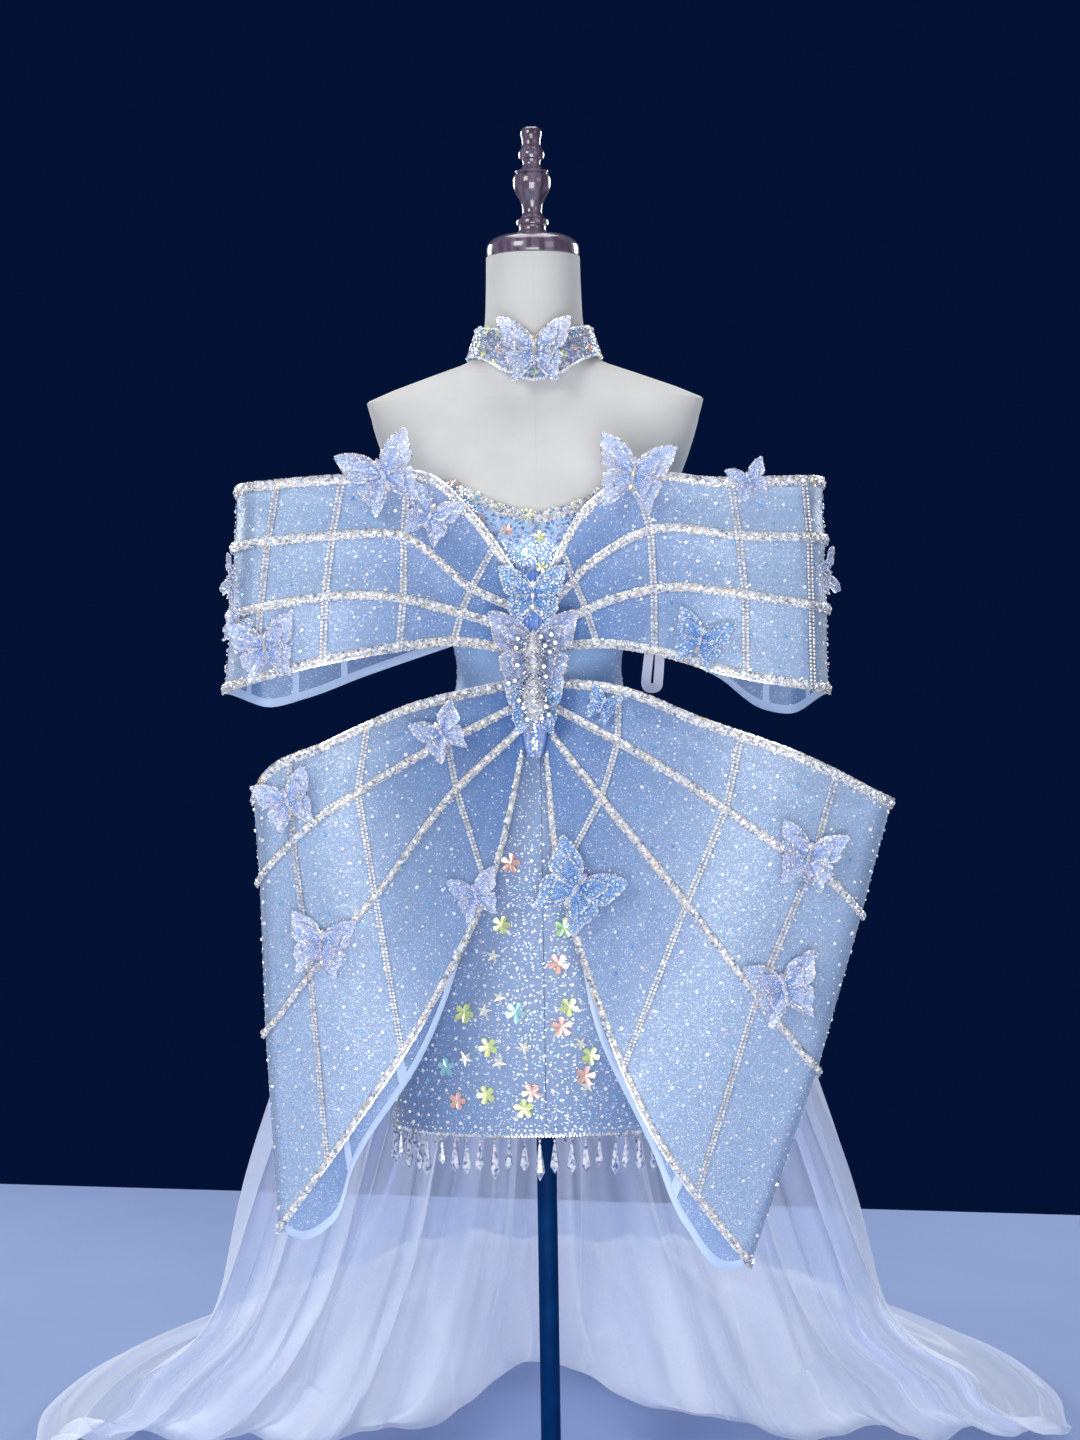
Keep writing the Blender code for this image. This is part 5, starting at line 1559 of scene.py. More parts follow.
    def back(self, w: Array, t: Array) -> Array:
        """The back panel's points: rows at w from top to bottom, columns at t from turn to body."""
        seam = self.front(np.linspace(0, 3, 61), np.array([1.0]))[:, 0]
        first, last = self.back_edges
        top = along(self.edge_curve(self.bones[0], first, seam[0]), t)
        low = along(self.edge_curve(self.bones[3], last, seam[-1]), t)
        share = lengths(seam)
        end = []
        for s in w:
            turn = -90 + self.side * (first.seam_angle + (last.seam_angle - first.seam_angle) * s)
            height = (first.seam_z + (last.seam_z - first.seam_z) * s) * MM
            end.append(FIGURE.dress(math.radians(turn), height, SEAM_CLEAR))
        end = np.array(end)[:, None]
        at_seam = np.stack([np.interp(w, share, seam[:, i]) for i in range(3)], axis=-1)[:, None]
        w, t = w[:, None, None], t[None, :, None]
        corners = ((1 - w) * (1 - t) * at_seam[0] + w * (1 - t) * at_seam[-1]
                   + (1 - w) * t * end[0] + w * t * end[-1])
        grid = (1 - w) * top + w * low + (1 - t) * at_seam + t * end - corners
        if self.clears_skirt:
            grid = self.before_skirt(grid, SEAM_CLEAR + BACK_CLEAR * (1 - t[..., 0]))
        return grid

    @staticmethod
    def before_skirt(grid: Array, room: Array) -> Array:
        """Move points forwards where they would come nearer than room to the skirt's front."""
        table = FIGURE.skirt_table()
        sizes = smooth([r.z for r in table], [r[1:] for r in table], grid[..., 2])
        half_width, front, _, squareness = np.moveaxis(sizes, -1, 0)
        share = np.minimum(np.abs(grid[..., 0]) / half_width, 1.0)
        face = np.where(share < 1, -front * (1 - share**squareness) ** (1 / squareness), 1.0)
        grid[..., 1] = np.minimum(grid[..., 1], np.where(share < 1, face - room, 1.0))
        return grid

    def build(self, wear: Wardrobe, sewing: Sewing) -> None:
        """Build the loop's panels, bands and stones."""
        self.build_panels(wear)
        self.build_bands(wear, sewing)
        self.sew_stones(wear, sewing)

    def build_panels(self, wear: Wardrobe) -> None:
        """The two organza panels, a little slack between the bones."""
        v, u = np.linspace(0, 3, 31), np.linspace(0, 1, self.columns)
        grid, normals = self.front(v, u), self.front_normals(v, u)
        slack = self.sag * np.sin(math.pi * (v % 1.0))[:, None, None] ** 2
        slack = slack * np.clip(u * 4, 0, 1)[None, :, None]
        grid = grid - normals * slack
        panel = finished(f"{self.label}_front_panel",
                         wall_mesh(grid, grid - normals * self.film, self.flip), wear.front,
                         "glitter_organza", f"{self.label}_front")
        declare(panel, grid, self.front_cut, "stretched", "bow_knot")
        grid = self.back(np.linspace(0, 1, 29), self.back_steps(70))
        grid[:, 0] += unit(grid[:, 1] - grid[:, 0]) * GAP
        normals = self.side * grid_normals(grid)
        points, faces, uv = wall_mesh(grid, grid - normals * self.film, self.flip)
        panel = finished(f"{self.label}_back_panel", (points, faces, uv * [-1, 1] + [1, 0]),
                         wear.back, "glitter_organza", f"{self.label}_back")
        rests = ["bow_knot"] if self.clears_skirt else ["bodice_back_left", "bodice_back_right"]
        declare(panel, grid, self.back_cut, "stretched", *rests)

    @staticmethod
    def back_steps(count: int) -> Array:
        """Columns of a back panel, closer together at its turn."""
        even = np.linspace(0, 1, count)
        return even**1.5 * 0.6 + even * 0.4

    def band(self, bone: int, u: Array) -> Line:
        """A band's five rows over a bone and their normals: an edge band lies on its inner side."""
        lows, highs = {0: (0, 1), 3: (1, 0)}.get(bone, (0.5, 0.5))
        here = self.front(np.array([float(bone)]), u)[0]
        rows = []
        for other, share in ((bone - 1, lows), (bone + 1, highs)):
            if share == 0:
                rows.append(here)
                continue
            beside = self.front(np.array([float(other)]), u)[0]
            reach = beside - here
            wide = np.linalg.norm(reach, axis=1, keepdims=True)
            rows.append(here + reach * np.minimum(share * self.band_wide / wide, 0.45))
        first, last = rows
        steps = np.linspace(0, 1, 5)[:, None, None]
        grid = np.where(steps < 0.5, first + (here - first) * steps * 2,
                        here + (last - here) * (steps * 2 - 1))
        if bone in (0, 3):
            grid = first + (last - first) * steps
        normals = self.front_normals(np.array([float(bone)]), u)
        return grid, np.repeat(normals, 5, axis=0)

    def crossing(self, column: int) -> Line:
        """A cross band's rows along it, its five columns across and their normals."""
        low, high = self.even[column], self.even[column + 1]
        v, u = np.linspace(0.02, 2.98, 70), np.linspace(low, high, 5)
        return self.front(v, u), self.front_normals(v, u)

    def back_edge(self, top: bool, t: Array) -> Line:
        """The casing along a back panel's top or bottom edge, and its normals."""
        grid = self.back(np.linspace(0, 1, 41), t)
        normals = self.side * grid_normals(grid)
        order = slice(0, None) if top else slice(None, None, -1)
        grid, normals = grid[order], normals[order]
        depth = np.cumsum(np.linalg.norm(np.diff(grid, axis=0), axis=2), axis=0)
        depth = np.concatenate([np.zeros((1, len(t))), depth])
        wanted = np.linspace(0, self.band_wide, 4)
        rows = np.stack([
            np.stack([np.interp(wanted, depth[:, j], grid[:, j, i]) for i in range(3)], axis=-1)
            for j in range(len(t))
        ], axis=1)
        return rows, np.repeat(normals[1:2], 4, axis=0)

    def build_bands(self, wear: Wardrobe, sewing: Sewing) -> None:
        """The silver bands along the bones with their beads, then what crosses and edges them."""
        u = np.linspace(0.012, 1, 110)
        dome = (np.array([0.0, 0.8, 1.0, 0.8, 0.0]) * 1.0 * MM)[:, None, None]
        frames, beads = [], []
        for bone, node in enumerate((None, "upper_band", "lower_band", None)):
            grid, normals = self.band(bone, u)
            low = 2.0 * MM if node else GAP
            face = grid + normals * (low + 0.8 * MM + dome)
            parts = wall_mesh(face, grid + normals * low, self.flip)
            beads += [
                sewing.scatter(face_mesh(face, self.flip), Cut.CHATON, wear.silver, 3.3,
                               (2.4, 4.4), self.seed + bone),
                sewing.scatter(face_mesh(face[1:4], self.flip), Cut.CHATON, wear.stones, 13,
                               (4.4, 6.2), self.seed + 10 + bone, (0.0, 0.6)),
            ]
            if node:
                finished(f"{self.label}_{node}_tape", parts, wear.tape, "silver_beads",
                         f"{self.label}_{node}")
                continue
            frames.append(parts)
            edge = 0 if bone == 0 else -1
            line = face[edge] + normals[edge] * -0.6 * MM, normals[edge]
            beads.append(sewing.string([line], Cut.BEAD, wear.silver, 2.4, (2.4, 4.4),
                                       self.seed + 20 + bone, spin=6.0))
        braids, rows = self.cross_bands()
        beads.append(sewing.string(rows, Cut.CHATON, wear.row_stones, 4.1, (3.5, 3.8),
                                   self.seed + 30))
        finished(f"{self.label}_tape_frame", joined(frames), wear.tape, "silver_beads",
                 f"{self.label}_frame")
        finished(f"{self.label}_cross_braids", joined(braids), wear.braid, "silver_beads")
        settle(merged(f"{self.label}_band_beads", beads), "silver_beads")
        finished(f"{self.label}_edge_casings", joined(self.casings()), wear.casing,
                 "wing_organza")

    def cross_bands(self) -> tuple[list[Parts], list[Line]]:
        """The braids that cross the bones, and the two rows of stones on each."""
        braids, rows = [], []
        for column in self.crossed:
            grid, normals = self.crossing(column)
            top = grid + normals * 1.3 * MM
            braids.append(wall_mesh(top, grid + normals * GAP, self.flip))
            for side, edge in ((1, 0), (3, 4)):
                row = top[:, side] + (top[:, edge] - top[:, side]) * self.row_spread
                rows.append((row, normals[:, side]))
        return braids, rows

    def casings(self) -> list[Parts]:
        """The back panel's pale casings: both edges, inside and out, and its strips."""
        casings = []
        row = np.array([0.2, 1.0, 1.0, 0.2])[:, None, None] * 0.7 * MM
        inside = self.film + GAP
        for top in (True, False):
            grid, normals = self.back_edge(top, self.back_steps(60))
            above = grid + normals * (0.5 * MM + row), grid + normals * GAP
            below = grid - normals * inside, grid - normals * (inside + 0.2 * MM + row)
            casings += [wall_mesh(*walls, self.flip == top) for walls in (above, below)]
        for t in self.back_strips:
            grid = self.back(np.linspace(0.03, 0.97, 60), t + np.linspace(-0.012, 0.012, 4))
            normals = self.side * grid_normals(grid)
            casings.append(wall_mesh(grid - normals * inside,
                                     grid - normals * (inside + 0.5 * MM), self.flip))
        return casings

    def sew_stones(self, wear: Wardrobe, sewing: Sewing) -> None:
        """Stones strewn over the front panel, thinner near the knot."""
        stones = []
        for finish, cut, low, gap, sizes, seed in (
            (wear.stones, Cut.CHATON, 0.10, 16, (1.6, 2.8), 40),
            (wear.stones, Cut.CHATON, 0.30, 23, (3.4, 5.2), 41),
            (wear.silver, Cut.BUGLE, 0.20, 7.5, (1.2, 2.2), 42),
        ):
            v, u = np.linspace(0.04, 2.96, 40), np.linspace(low, 0.99, 60)
            grid = self.front(v, u) + self.front_normals(v, u) * 0.1 * MM
            stones.append(sewing.scatter(face_mesh(grid, self.flip), cut, finish, gap, sizes,
                                         self.seed + seed))
        settle(merged(f"{self.label}_stones", stones), "crystal")


LOOPS = (
    BowLoop("upper_right", 1, False, (
        Bone(1187, ((58, 1272), (97, 1298), (198, 1295), (322, 1296)), -130, -148, -142, 34, 76),
        Bone(1156, ((64, 1208), (125, 1239), (221, 1231), (323, 1228)), -130, -150, -144, 35, 78),
        Bone(1134, ((76, 1162), (149, 1176), (220, 1167), (325, 1150)), -126, -150, -144, 36, 80),
        Bone(1108, ((76, 1111), (133, 1101), (200, 1080), (326, 1056)), -122, -148, -142, 37, 82),
    ), (
        BackEdge(((240, 1290),), 30, 112, 1232),
        BackEdge(((296, 1034), (262, 1038), (206, 1078)), 32, 112, 1120),
    ), ((26, 40, 54, 66), (108, 125, 128, 128), (212, 221, 227, 227), (294, 299, 300, 301)),
        (0.435, 0.24, 0.077), (0.32, 0.262, 0.058), 100),
    BowLoop("upper_left", -1, False, (
        Bone(1187, ((67, 1257), (115, 1303), (209, 1304), (337, 1296)), -130, -148, -142, 34, 76),
        Bone(1156, ((74, 1179), (147, 1236), (230, 1237), (341, 1228)), -130, -150, -144, 35, 78),
        Bone(1132, ((84, 1151), (170, 1171), (289, 1163), (347, 1151)), -126, -150, -144, 36, 80),
        Bone(1106, ((98, 1116), (156, 1110), (240, 1096), (356, 1066)), -122, -148, -142, 37, 82),
    ), (
        BackEdge(((240, 1292),), 30, 112, 1232),
        BackEdge(((318, 1050), (273, 1059), (206, 1083)), 32, 112, 1120),
    ), ((46, 74, 86, 96), (141, 147, 149, 155), (212, 225, 234, 238), (284, 296, 305, 313)),
        (0.435, 0.232, 0.075), (0.335, 0.248, 0.061), 200),
    BowLoop("lower_right", 1, True, (
        Bone(1078, ((88, 1068), (179, 1031), (285, 991), (388, 938)), -140, -172, -158, 20, 26),
        Bone(1048, ((137, 976), (243, 901), (330, 837), (351, 810)), -142, -176, -160, 16, 24),
        Bone(1020, ((70, 941), (157, 829), (230, 730), (300, 640)), -142, -176, -160, 12, 20),
        Bone(997, ((14, 879), (60, 711), (123, 564), (222, 425)), -136, -168, -158, 8, 14),
    ), (
        BackEdge(((345, 928), (298, 943), (215, 988)), -122, 42, 1046),
        BackEdge(((196, 420), (152, 469), (115, 558), (60, 678)), -136, 14, 984),
    ), ((88, 86, 67, 18), (220, 201, 157, 84), (324, 293, 232, 162)),
        (0.64, 0.54, 0.157), (0.645, 0.55, 0.142), 300),
    BowLoop("lower_left", -1, True, (
        Bone(1078, ((143, 1051), (234, 1012), (300, 981), (318, 952)), -140, -172, -158, 20, 26),
        Bone(1048, ((163, 979), (268, 908), (303, 870), (312, 856)), -142, -176, -160, 16, 24),
        Bone(1022, ((98, 953), (180, 847), (238, 779), (308, 690)), -142, -176, -160, 12, 20),
        Bone(999, ((54, 857), (130, 707), (210, 589), (297, 471)), -136, -168, -158, 8, 14),
    ), (
        BackEdge(((280, 944), (215, 988)), -122, 42, 1046),
        BackEdge(((272, 460), (238, 478), (213, 542), (139, 655)), -136, 14, 984),
    ), ((103, 103, 94, 60), (188, 200, 183, 156), (274, 271, 255, 240)),
        (0.62, 0.482, 0.115), (0.63, 0.493, 0.106), 400),
)


@dataclass
class Knot:
    """The pleated pad that gathers the loops' ends."""

    around: int = 72
    rows: int = 60
    pleats: int = 9

    def build(self, wear: Wardrobe) -> None:
        """Build the knot with its pleats running up and down."""
        angles = turns(self.around)
        c, s = np.cos(angles), np.sin(angles)
        rings = []
        for share in np.linspace(0, 1, self.rows):
            z = KNOT_BOTTOM + share * (KNOT_TOP - KNOT_BOTTOM)
            half, deep = float(knot_half(z)), knot_deep(z) / 2
            pinch = 1 - 0.05 * (1 - math.cos(2 * math.pi * share * 2))
            pleat = 1 - 0.045 * (1 + np.cos(self.pleats * 2 * angles + 3 * share))
            x = KNOT_X + half * np.sign(c) * np.abs(c) ** 0.8 * pleat * pinch
            y = knot_back(z) - deep + deep * np.sign(s) * np.abs(s) ** 0.8 * pleat
            rings.append(np.stack([x, y, np.full(self.around, z)], axis=1))
        size = self.rows, self.around
        knot = finished("pleated_knot",
                        (np.concatenate(rings), capped_faces(*size), grid_uv(*size)),
                        wear.pleats, "glitter_organza", "bow_knot")


# ------------------------------------------------------------------ butterflies

class Wings(Enum):
    """The three butterfly cloths."""

    LILAC = "lilac"
    BLUE = "blue"
    WHITE = "white"


@dataclass
class Butterfly:
    """A layered organza butterfly with beaded rims, strewn stones and a crystal body.

    Its own axes are across, up and out of what it sits on.
    """

    name: str
    span: float
    wings: Wings
    centre: Array
    axes: tuple[Array, Array, Array]
    seed: int
    stones: float = 5.6         # between stones, in mm
    rise: float = 0.12

    FORE = ((88, 0.10), (76, 0.24), (64, 0.38), (54, 0.50), (47, 0.60), (42, 0.66), (38, 0.63),
            (33, 0.57), (27, 0.53), (21, 0.485), (14, 0.455), (7, 0.42), (0, 0.30), (-6, 0.14))
    HIND = ((8, 0.14), (2, 0.26), (-6, 0.36), (-14, 0.40), (-22, 0.395), (-30, 0.43),
            (-38, 0.425), (-46, 0.46), (-53, 0.52), (-58, 0.56), (-63, 0.49), (-70, 0.36),
            (-80, 0.24), (-90, 0.12))

    def place(self, flat: Array) -> Array:
        """Points of (x, y, height) in the butterfly's own axes, in metres, set in the world."""
        across, up, out = self.axes
        return (np.asarray(self.centre) + flat[..., :1] * across + flat[..., 1:2] * up
                + flat[..., 2:3] * out)

    def wing(self, outline: tuple, side: int, size: float, lift: float) -> tuple[Array, Array]:
        """One wing's grid from body to rim, and its normals.

        Args:
            outline: rows of (degrees, reach in spans).
            side: 1 for the right wing, -1 for the left.
            size: the wing's size as a share of the outline.
            lift: height over the butterfly's base.

        Returns:
            The grid in the world and its outward normals.
        """
        degrees, reach = np.array(outline, float).T
        marks = np.linspace(0, 1, len(outline))
        steps = np.linspace(0, 1, 3 * len(outline) - 2)
        turn = np.radians(smooth(marks, degrees, steps))
        far = smooth(marks, reach, steps) * self.span * size
        share = np.array([0.10, 0.34, 0.58, 0.80, 1.0])[:, None]
        x = side * far * np.cos(turn) * share
        y = far * np.sin(turn) * share
        ripple = 0.035 * np.sin(9 * turn) * share**2
        curl = 0.03 * share**3
        height = lift + np.abs(x) * self.rise + (ripple + curl) * self.span
        grid = self.place(np.stack([x, y, np.broadcast_to(height, x.shape)], axis=-1))
        normals = grid_normals(grid)
        return grid, normals * np.sign((normals * self.axes[2]).sum(axis=-1, keepdims=True))

    def build(self, wear: Wardrobe, sewing: Sewing, node: str | None) -> list[Piece]:
        """Build the wings and the body.

        Args:
            wear: the finishes.
            sewing: what sews the stones on.
            node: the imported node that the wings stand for, if it has one.

        Returns:
            The butterfly's bead work, to be merged with others'.
        """
        cloth = {Wings.LILAC: wear.lilac_wing, Wings.BLUE: wear.blue_wing,
                 Wings.WHITE: wear.white_wing}[self.wings]
        parts, rims, tops = [], [], []
        for outline, size, lift in (
            (self.HIND, 1.0, 0.2 * MM), (self.FORE, 1.0, 1.0 * MM), (self.HIND, 0.66, 2.0 * MM),
            (self.FORE, 0.62, 2.8 * MM),
        ):
            for side in (1, -1):
                grid, normals = self.wing(outline, side, size, lift)
                across = np.cross(grid[1, 1] - grid[0, 1], grid[0, 2] - grid[0, 1])
                flip = (across * normals[0, 1]).sum() < 0
                half = normals * 0.2 * MM
                parts.append(wall_mesh(grid + half, grid - half, flip))
                rims.append((grid[-1] + half[-1], normals[-1]))
                tops.append(face_mesh(grid[1:] + half[1:], flip))
        points, faces, uv = joined(parts)
        finished(self.name + "_wings", (points, faces, uv[:, ::-1]), cloth, "wing_organza",
                 *([node] if node else []))
        crystal = wear.knot_stones if self.wings is Wings.WHITE else wear.stones
        small, wide = self.span / MM * 0.030, self.span / MM
        body = []
        for share in (-0.17, 0.0, 0.17):
            middle = np.array([0, share * self.span, 3.4 * MM])
            line = np.stack([middle - [0, 0.2 * MM, 0], middle + [0, 0.2 * MM, 0]])
            body.append((self.place(line), np.array([self.axes[2]] * 2)))
        return [
            sewing.string(rims, Cut.CHATON, wear.silver, max(small * 1.1, 2.5),
                          (small * 0.9, small * 1.2), self.seed, spin=6.0),
            sewing.scatter(joined(tops[::2] + tops[1::2]), Cut.CHATON, crystal, self.stones,
                           (2.0, 3.8), self.seed + 1),
            sewing.string(body, Cut.MARQUISE, wear.knot_stones, ALONE,
                          (wide * 0.12, wide * 0.15), self.seed + 2, (0.3, 0.88), spin=0.01),
        ]


def face_axes(normal: Array, roll: float) -> tuple[Array, Array, Array]:
    """Across, up and out on a face, turned by roll degrees about its normal."""
    out = unit(np.asarray(normal, float))
    across = unit(np.cross((0, 0, 1), out))
    up = np.cross(out, across)
    c, s = math.cos(math.radians(roll)), math.sin(math.radians(roll))
    return across * c + up * s, up * c - across * s, out


class Perch(NamedTuple):
    """A butterfly's place on a loop: from bone 0 to 3, and a share of the way along."""

    loop: str
    label: str
    bone: float
    share: float
    span: float
    roll: float
    has_node: bool = True
    wings: Wings = Wings.LILAC


PERCHES = (
    Perch("upper_left", "top", 0.14, 0.46, 0.084, 22),
    Perch("upper_left", "side", 2.62, 0.70, 0.074, 10),
    Perch("upper_left", "low", 0.55, 0.31, 0.062, -25, False),
    Perch("upper_left", "turn", 1.50, 0.86, 0.048, 60, False),
    Perch("upper_left", "edge", 2.22, 0.80, 0.050, -30, False),
    Perch("upper_right", "top", 0.06, 0.36, 0.085, -12),
    Perch("upper_right", "low", 2.70, 0.44, 0.064, -20, wings=Wings.BLUE),
    Perch("upper_right", "side", 1.60, 0.84, 0.052, -70),
    Perch("upper_right", "small", 0.06, 0.645, 0.044, 20, False),
    Perch("lower_left", "outer", 0.62, 0.77, 0.066, 20),
    Perch("lower_left", "middle", 1.90, 0.74, 0.072, -10),
    Perch("lower_left", "inner", 2.88, 0.30, 0.056, 15),
    Perch("lower_left", "near", 0.86, 0.27, 0.060, 30),
    Perch("lower_right", "inner", 2.86, 0.275, 0.092, -35, wings=Wings.BLUE),
    Perch("lower_right", "outer", 1.0, 0.75, 0.074, -15),
    Perch("lower_right", "middle", 1.80, 0.82, 0.080, 12),
    Perch("lower_right", "near", 0.50, 0.15, 0.040, -25, wings=Wings.BLUE),
)


@dataclass
class Butterflies:
    """The butterflies on the loops and on the knot."""

    height: float = 4.0 * MM

    # the knot's round crystals: to the right of its middle butterfly and up from it, in mm
    CLEAR = ((-17, 13), (8.5, 15), (20, 17), (13, 5), (18, -2), (-18, -16), (11, -18), (13, -29),
             (-21, -33), (-28, -36), (-17, -55), (-8, -76), (-19, 3), (24, 8))
    WARM = ((-12, -63), (13, -62), (8, -75), (16, -71))

    def build(self, wear: Wardrobe, sewing: Sewing) -> None:
        """Build the loops' and the knot's butterflies and merge their bead work by place."""
        beads: list[Piece] = []
        loops = {loop.name: loop for loop in LOOPS}
        for number, p in enumerate(PERCHES):
            loop = loops[p.loop]
            v, s = np.array([p.bone]), np.array([p.share])
            here, out = loop.front(v, s)[0, 0], loop.front_normals(v, s)[0, 0]
            name = f"butterfly_{p.loop}_{p.label}"
            if p.has_node:
                low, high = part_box(name)
                here = (np.array(low) + np.array(high)) / 2 - out * self.height * 1.6
            made = Butterfly(name, p.span, p.wings, here + out * self.height,
                             face_axes(out, p.roll), 500 + 5 * number)
            beads += made.build(wear, sewing, name if p.has_node else None)
        settle(merged("butterfly_beads", beads), "crystal")
        self.build_knot_stack(wear, sewing)

    def build_knot_stack(self, wear: Wardrobe, sewing: Sewing) -> None:
        """The three butterflies over the knot, with marquises, crystals and bead rows."""
        beads: list[Piece] = []
        for label, span, wings, seed, gap in (
            ("top", 0.074, Wings.BLUE, 801, 3.4), ("bottom", 0.066, Wings.BLUE, 811, 3.6),
            ("middle", 0.098, Wings.WHITE, 821, 6.0),
        ):
            name = "knot_butterfly_" + label
            low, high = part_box(name)
            centre = (np.array(low) + np.array(high)) / 2
            centre[1] = high.y - 3 * MM
            made = Butterfly(name, span, wings, centre, face_axes((0, -1, 0), 0), seed, gap)
            beads += made.build(wear, sewing, name)
        settle(merged("knot_bead_work", beads + self.knot_crystals(wear, sewing)), "crystal")

    @staticmethod
    def knot_bump(x: float, z: float, wide: float, tall: float, front: float) -> Line:
        """A low oval dome's points and normals, its middle at x and z, standing out of front."""
        high = 4.5 * MM
        out, turn = np.linspace(0, 1, 7)[:, None], np.linspace(0, 2 * math.pi, 25)[None, :]
        lift = high * np.sqrt(np.clip(1 - out**2, 0, 1)) + 0 * turn
        grid = np.stack([x + wide * out * np.sin(turn), front - lift,
                         z + tall * out * np.cos(turn)], axis=-1)
        away = np.stack([out * np.sin(turn) / wide, -lift / high / (4 * high) - 0 * turn,
                         out * np.cos(turn) / tall], axis=-1)
        return grid, unit(away)

    def knot_crystals(self, wear: Wardrobe, sewing: Sewing) -> list[Piece]:
        """The beaded bodies over the knot, its round crystals and the crust on its pad."""
        low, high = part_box("knot_butterfly_middle")
        x, z = (low.x + high.x) / 2, (low.z + high.z) / 2
        front = low.y + 3 * MM
        beads, bumps = [], []
        for shift, wide, tall, seed in ((-3, 10, 23, 831), (-52, 12, 24, 841)):
            height = z + shift * MM
            here = min(front, knot_back(height) - knot_deep(height) - 4 * MM)
            grid, normals = self.knot_bump(x, height, wide * MM, tall * MM, here)
            bumps.append(face_mesh(grid, flip=True))
            rings = [(grid[ring], normals[ring]) for ring in range(1, 7)]
            spine = grid[[6, 5, 3, 1], 0], normals[[6, 5, 3, 1], 0]
            foot = grid[[1, 3, 5, 6], 12], normals[[1, 3, 5, 6], 12]
            beads += [
                sewing.string(rings, Cut.BEAD, wear.jewels, 3.2, (2.6, 3.3), seed, spin=6.0),
                sewing.string([spine, foot], Cut.MARQUISE, wear.knot_stones, 7, (6, 7),
                              seed + 1, (0.0, 0.6)),
            ]
        finished("knot_beaded_bodies", joined(bumps), wear.tape, "silver_beads")
        for warm, spots in enumerate((self.CLEAR, self.WARM)):
            marks, rims = [], []
            for right, up in spots:
                height = z + up * MM
                here = min(front, knot_back(height) - knot_deep(height) - 5 * MM) - 1 * MM
                spot = np.array([x + right * MM, here, height])
                line = np.array([spot, spot + [0.3 * MM, 0, 0]])
                out = np.tile([0.0, -1.0, 0.0], (2, 1))
                marks.append((line, out))
                rims.append((line + [0, 0.9 * MM, 0], out))
            tints = (0.76, 0.88) if warm else (0.0, 0.74)
            beads += [
                sewing.string(marks, Cut.CHATON, wear.knot_stones, ALONE, (5.5, 7.5),
                              851 + warm, tints, spin=6.0),
                sewing.string(rims, Cut.CHATON, wear.silver, ALONE, (8.5, 9.5), 855 + warm,
                              (0.51, 0.6), spin=6.0),
            ]
        rows = np.linspace(1.078, 0.992, 24)
        across = np.linspace(-1, 1, 15)
        pad = np.array([[
            (KNOT_X + 0.9 * float(knot_half(h)) * c,
             knot_back(h) - knot_deep(h) / 2 * (1 + (1 - abs(c) ** 2.5) ** 0.4) - 0.6 * MM, h)
            for c in across] for h in rows])
        return beads + [sewing.scatter(face_mesh(pad, flip=True), Cut.CHATON, wear.silver, 3.4,
                                       (2.8, 4.4), 861)]


# ------------------------------------------------------------------ choker

class Rim(NamedTuple):
    """One rim of the choker."""

    half_width: float
    front: float
    back: float
    side_z: float
    front_z: float
    back_z: float


@dataclass
class Choker:
    """The sequined collar and its large butterfly."""

    top: Rim = Rim(0.0665, 0.0620, 0.0610, 1.4785, 1.4640, 1.4850)
    foot: Rim = Rim(0.0765, 0.0735, 0.0680, 1.4480, 1.4155, 1.4505)
    around: int = 120
    rows: int = 9
    wall: float = 2.4 * MM
    span: float = 0.082
    cut: Flat = (0.475, 0.05, 0.0165)

    def rim(self, rim: Rim, off: float) -> Array:
        """Points round one rim, off metres out of it."""
        c, s = np.cos(turns(self.around)), np.sin(turns(self.around))
        depth = np.where(s < 0, rim.front, rim.back) + off
        z = rim.side_z + (np.where(s < 0, rim.front_z, rim.back_z) - rim.side_z) * s**4
        return np.stack([(rim.half_width + off) * c, depth * s, z], axis=1)

    def face(self, off: float) -> Array:
        """The collar's face, rows downwards."""
        share = np.linspace(0, 1, self.rows)[:, None, None]
        top, foot = self.rim(self.top, off), self.rim(self.foot, off)
        return top + (foot - top) * share

    def build(self, wear: Wardrobe, sewing: Sewing) -> None:
        """Build the collar, its stones and its butterfly."""
        outer = self.face(0)
        band = finished("choker_collar", wall_mesh(outer, self.face(-self.wall), closed=True),
                        wear.skirt_satin, "sequin_cloth", "choker_band")
        ring = np.concatenate([outer, outer[:, :1]], axis=1)
        declare(band, ring, self.cut, "stretched", "form_torso")
        out = grid_normals(ring)
        skin = face_mesh(ring)
        edges = [(ring[0], unit(out[0] + [0, 0, 1.2])), (ring[-1], unit(out[-1] - [0, 0, 1.2]))]
        settle(merged("choker_stones", [
            sewing.scatter(skin, Cut.CHATON, wear.crust, 4.8, (4.0, 6.2), 901, (0.0, 0.86)),
            sewing.scatter(skin, Cut.CHATON, wear.silver, 4.4, (3.0, 4.6), 902, (0.3, 0.8)),
            sewing.scatter(skin, Cut.FLOWER, wear.sequins, 18, (9, 12), 903, (0.0, 0.9)),
            sewing.string(edges, Cut.BEAD, wear.stones, 3.8, (3.0, 5.4), 904, (0.0, 0.8),
                          spin=6.0),
        ]), "crystal")
        low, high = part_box("choker_butterfly")
        front = 3 * self.around // 4
        centre = np.array([(low.x + high.x) / 2, 0, (low.z + high.z) / 2])
        centre[1] = np.interp(centre[2], outer[::-1, front, 2], outer[::-1, front, 1])
        axes = face_axes(out[self.rows // 2, front], 0)
        made = Butterfly("choker_butterfly", self.span, Wings.LILAC, centre + axes[2] * 4 * MM,
                         axes, 911, 4.2)
        settle(merged("choker_butterfly_beads", made.build(wear, sewing, "choker_butterfly")),
               "crystal")


# ------------------------------------------------------------------ train and ribbon

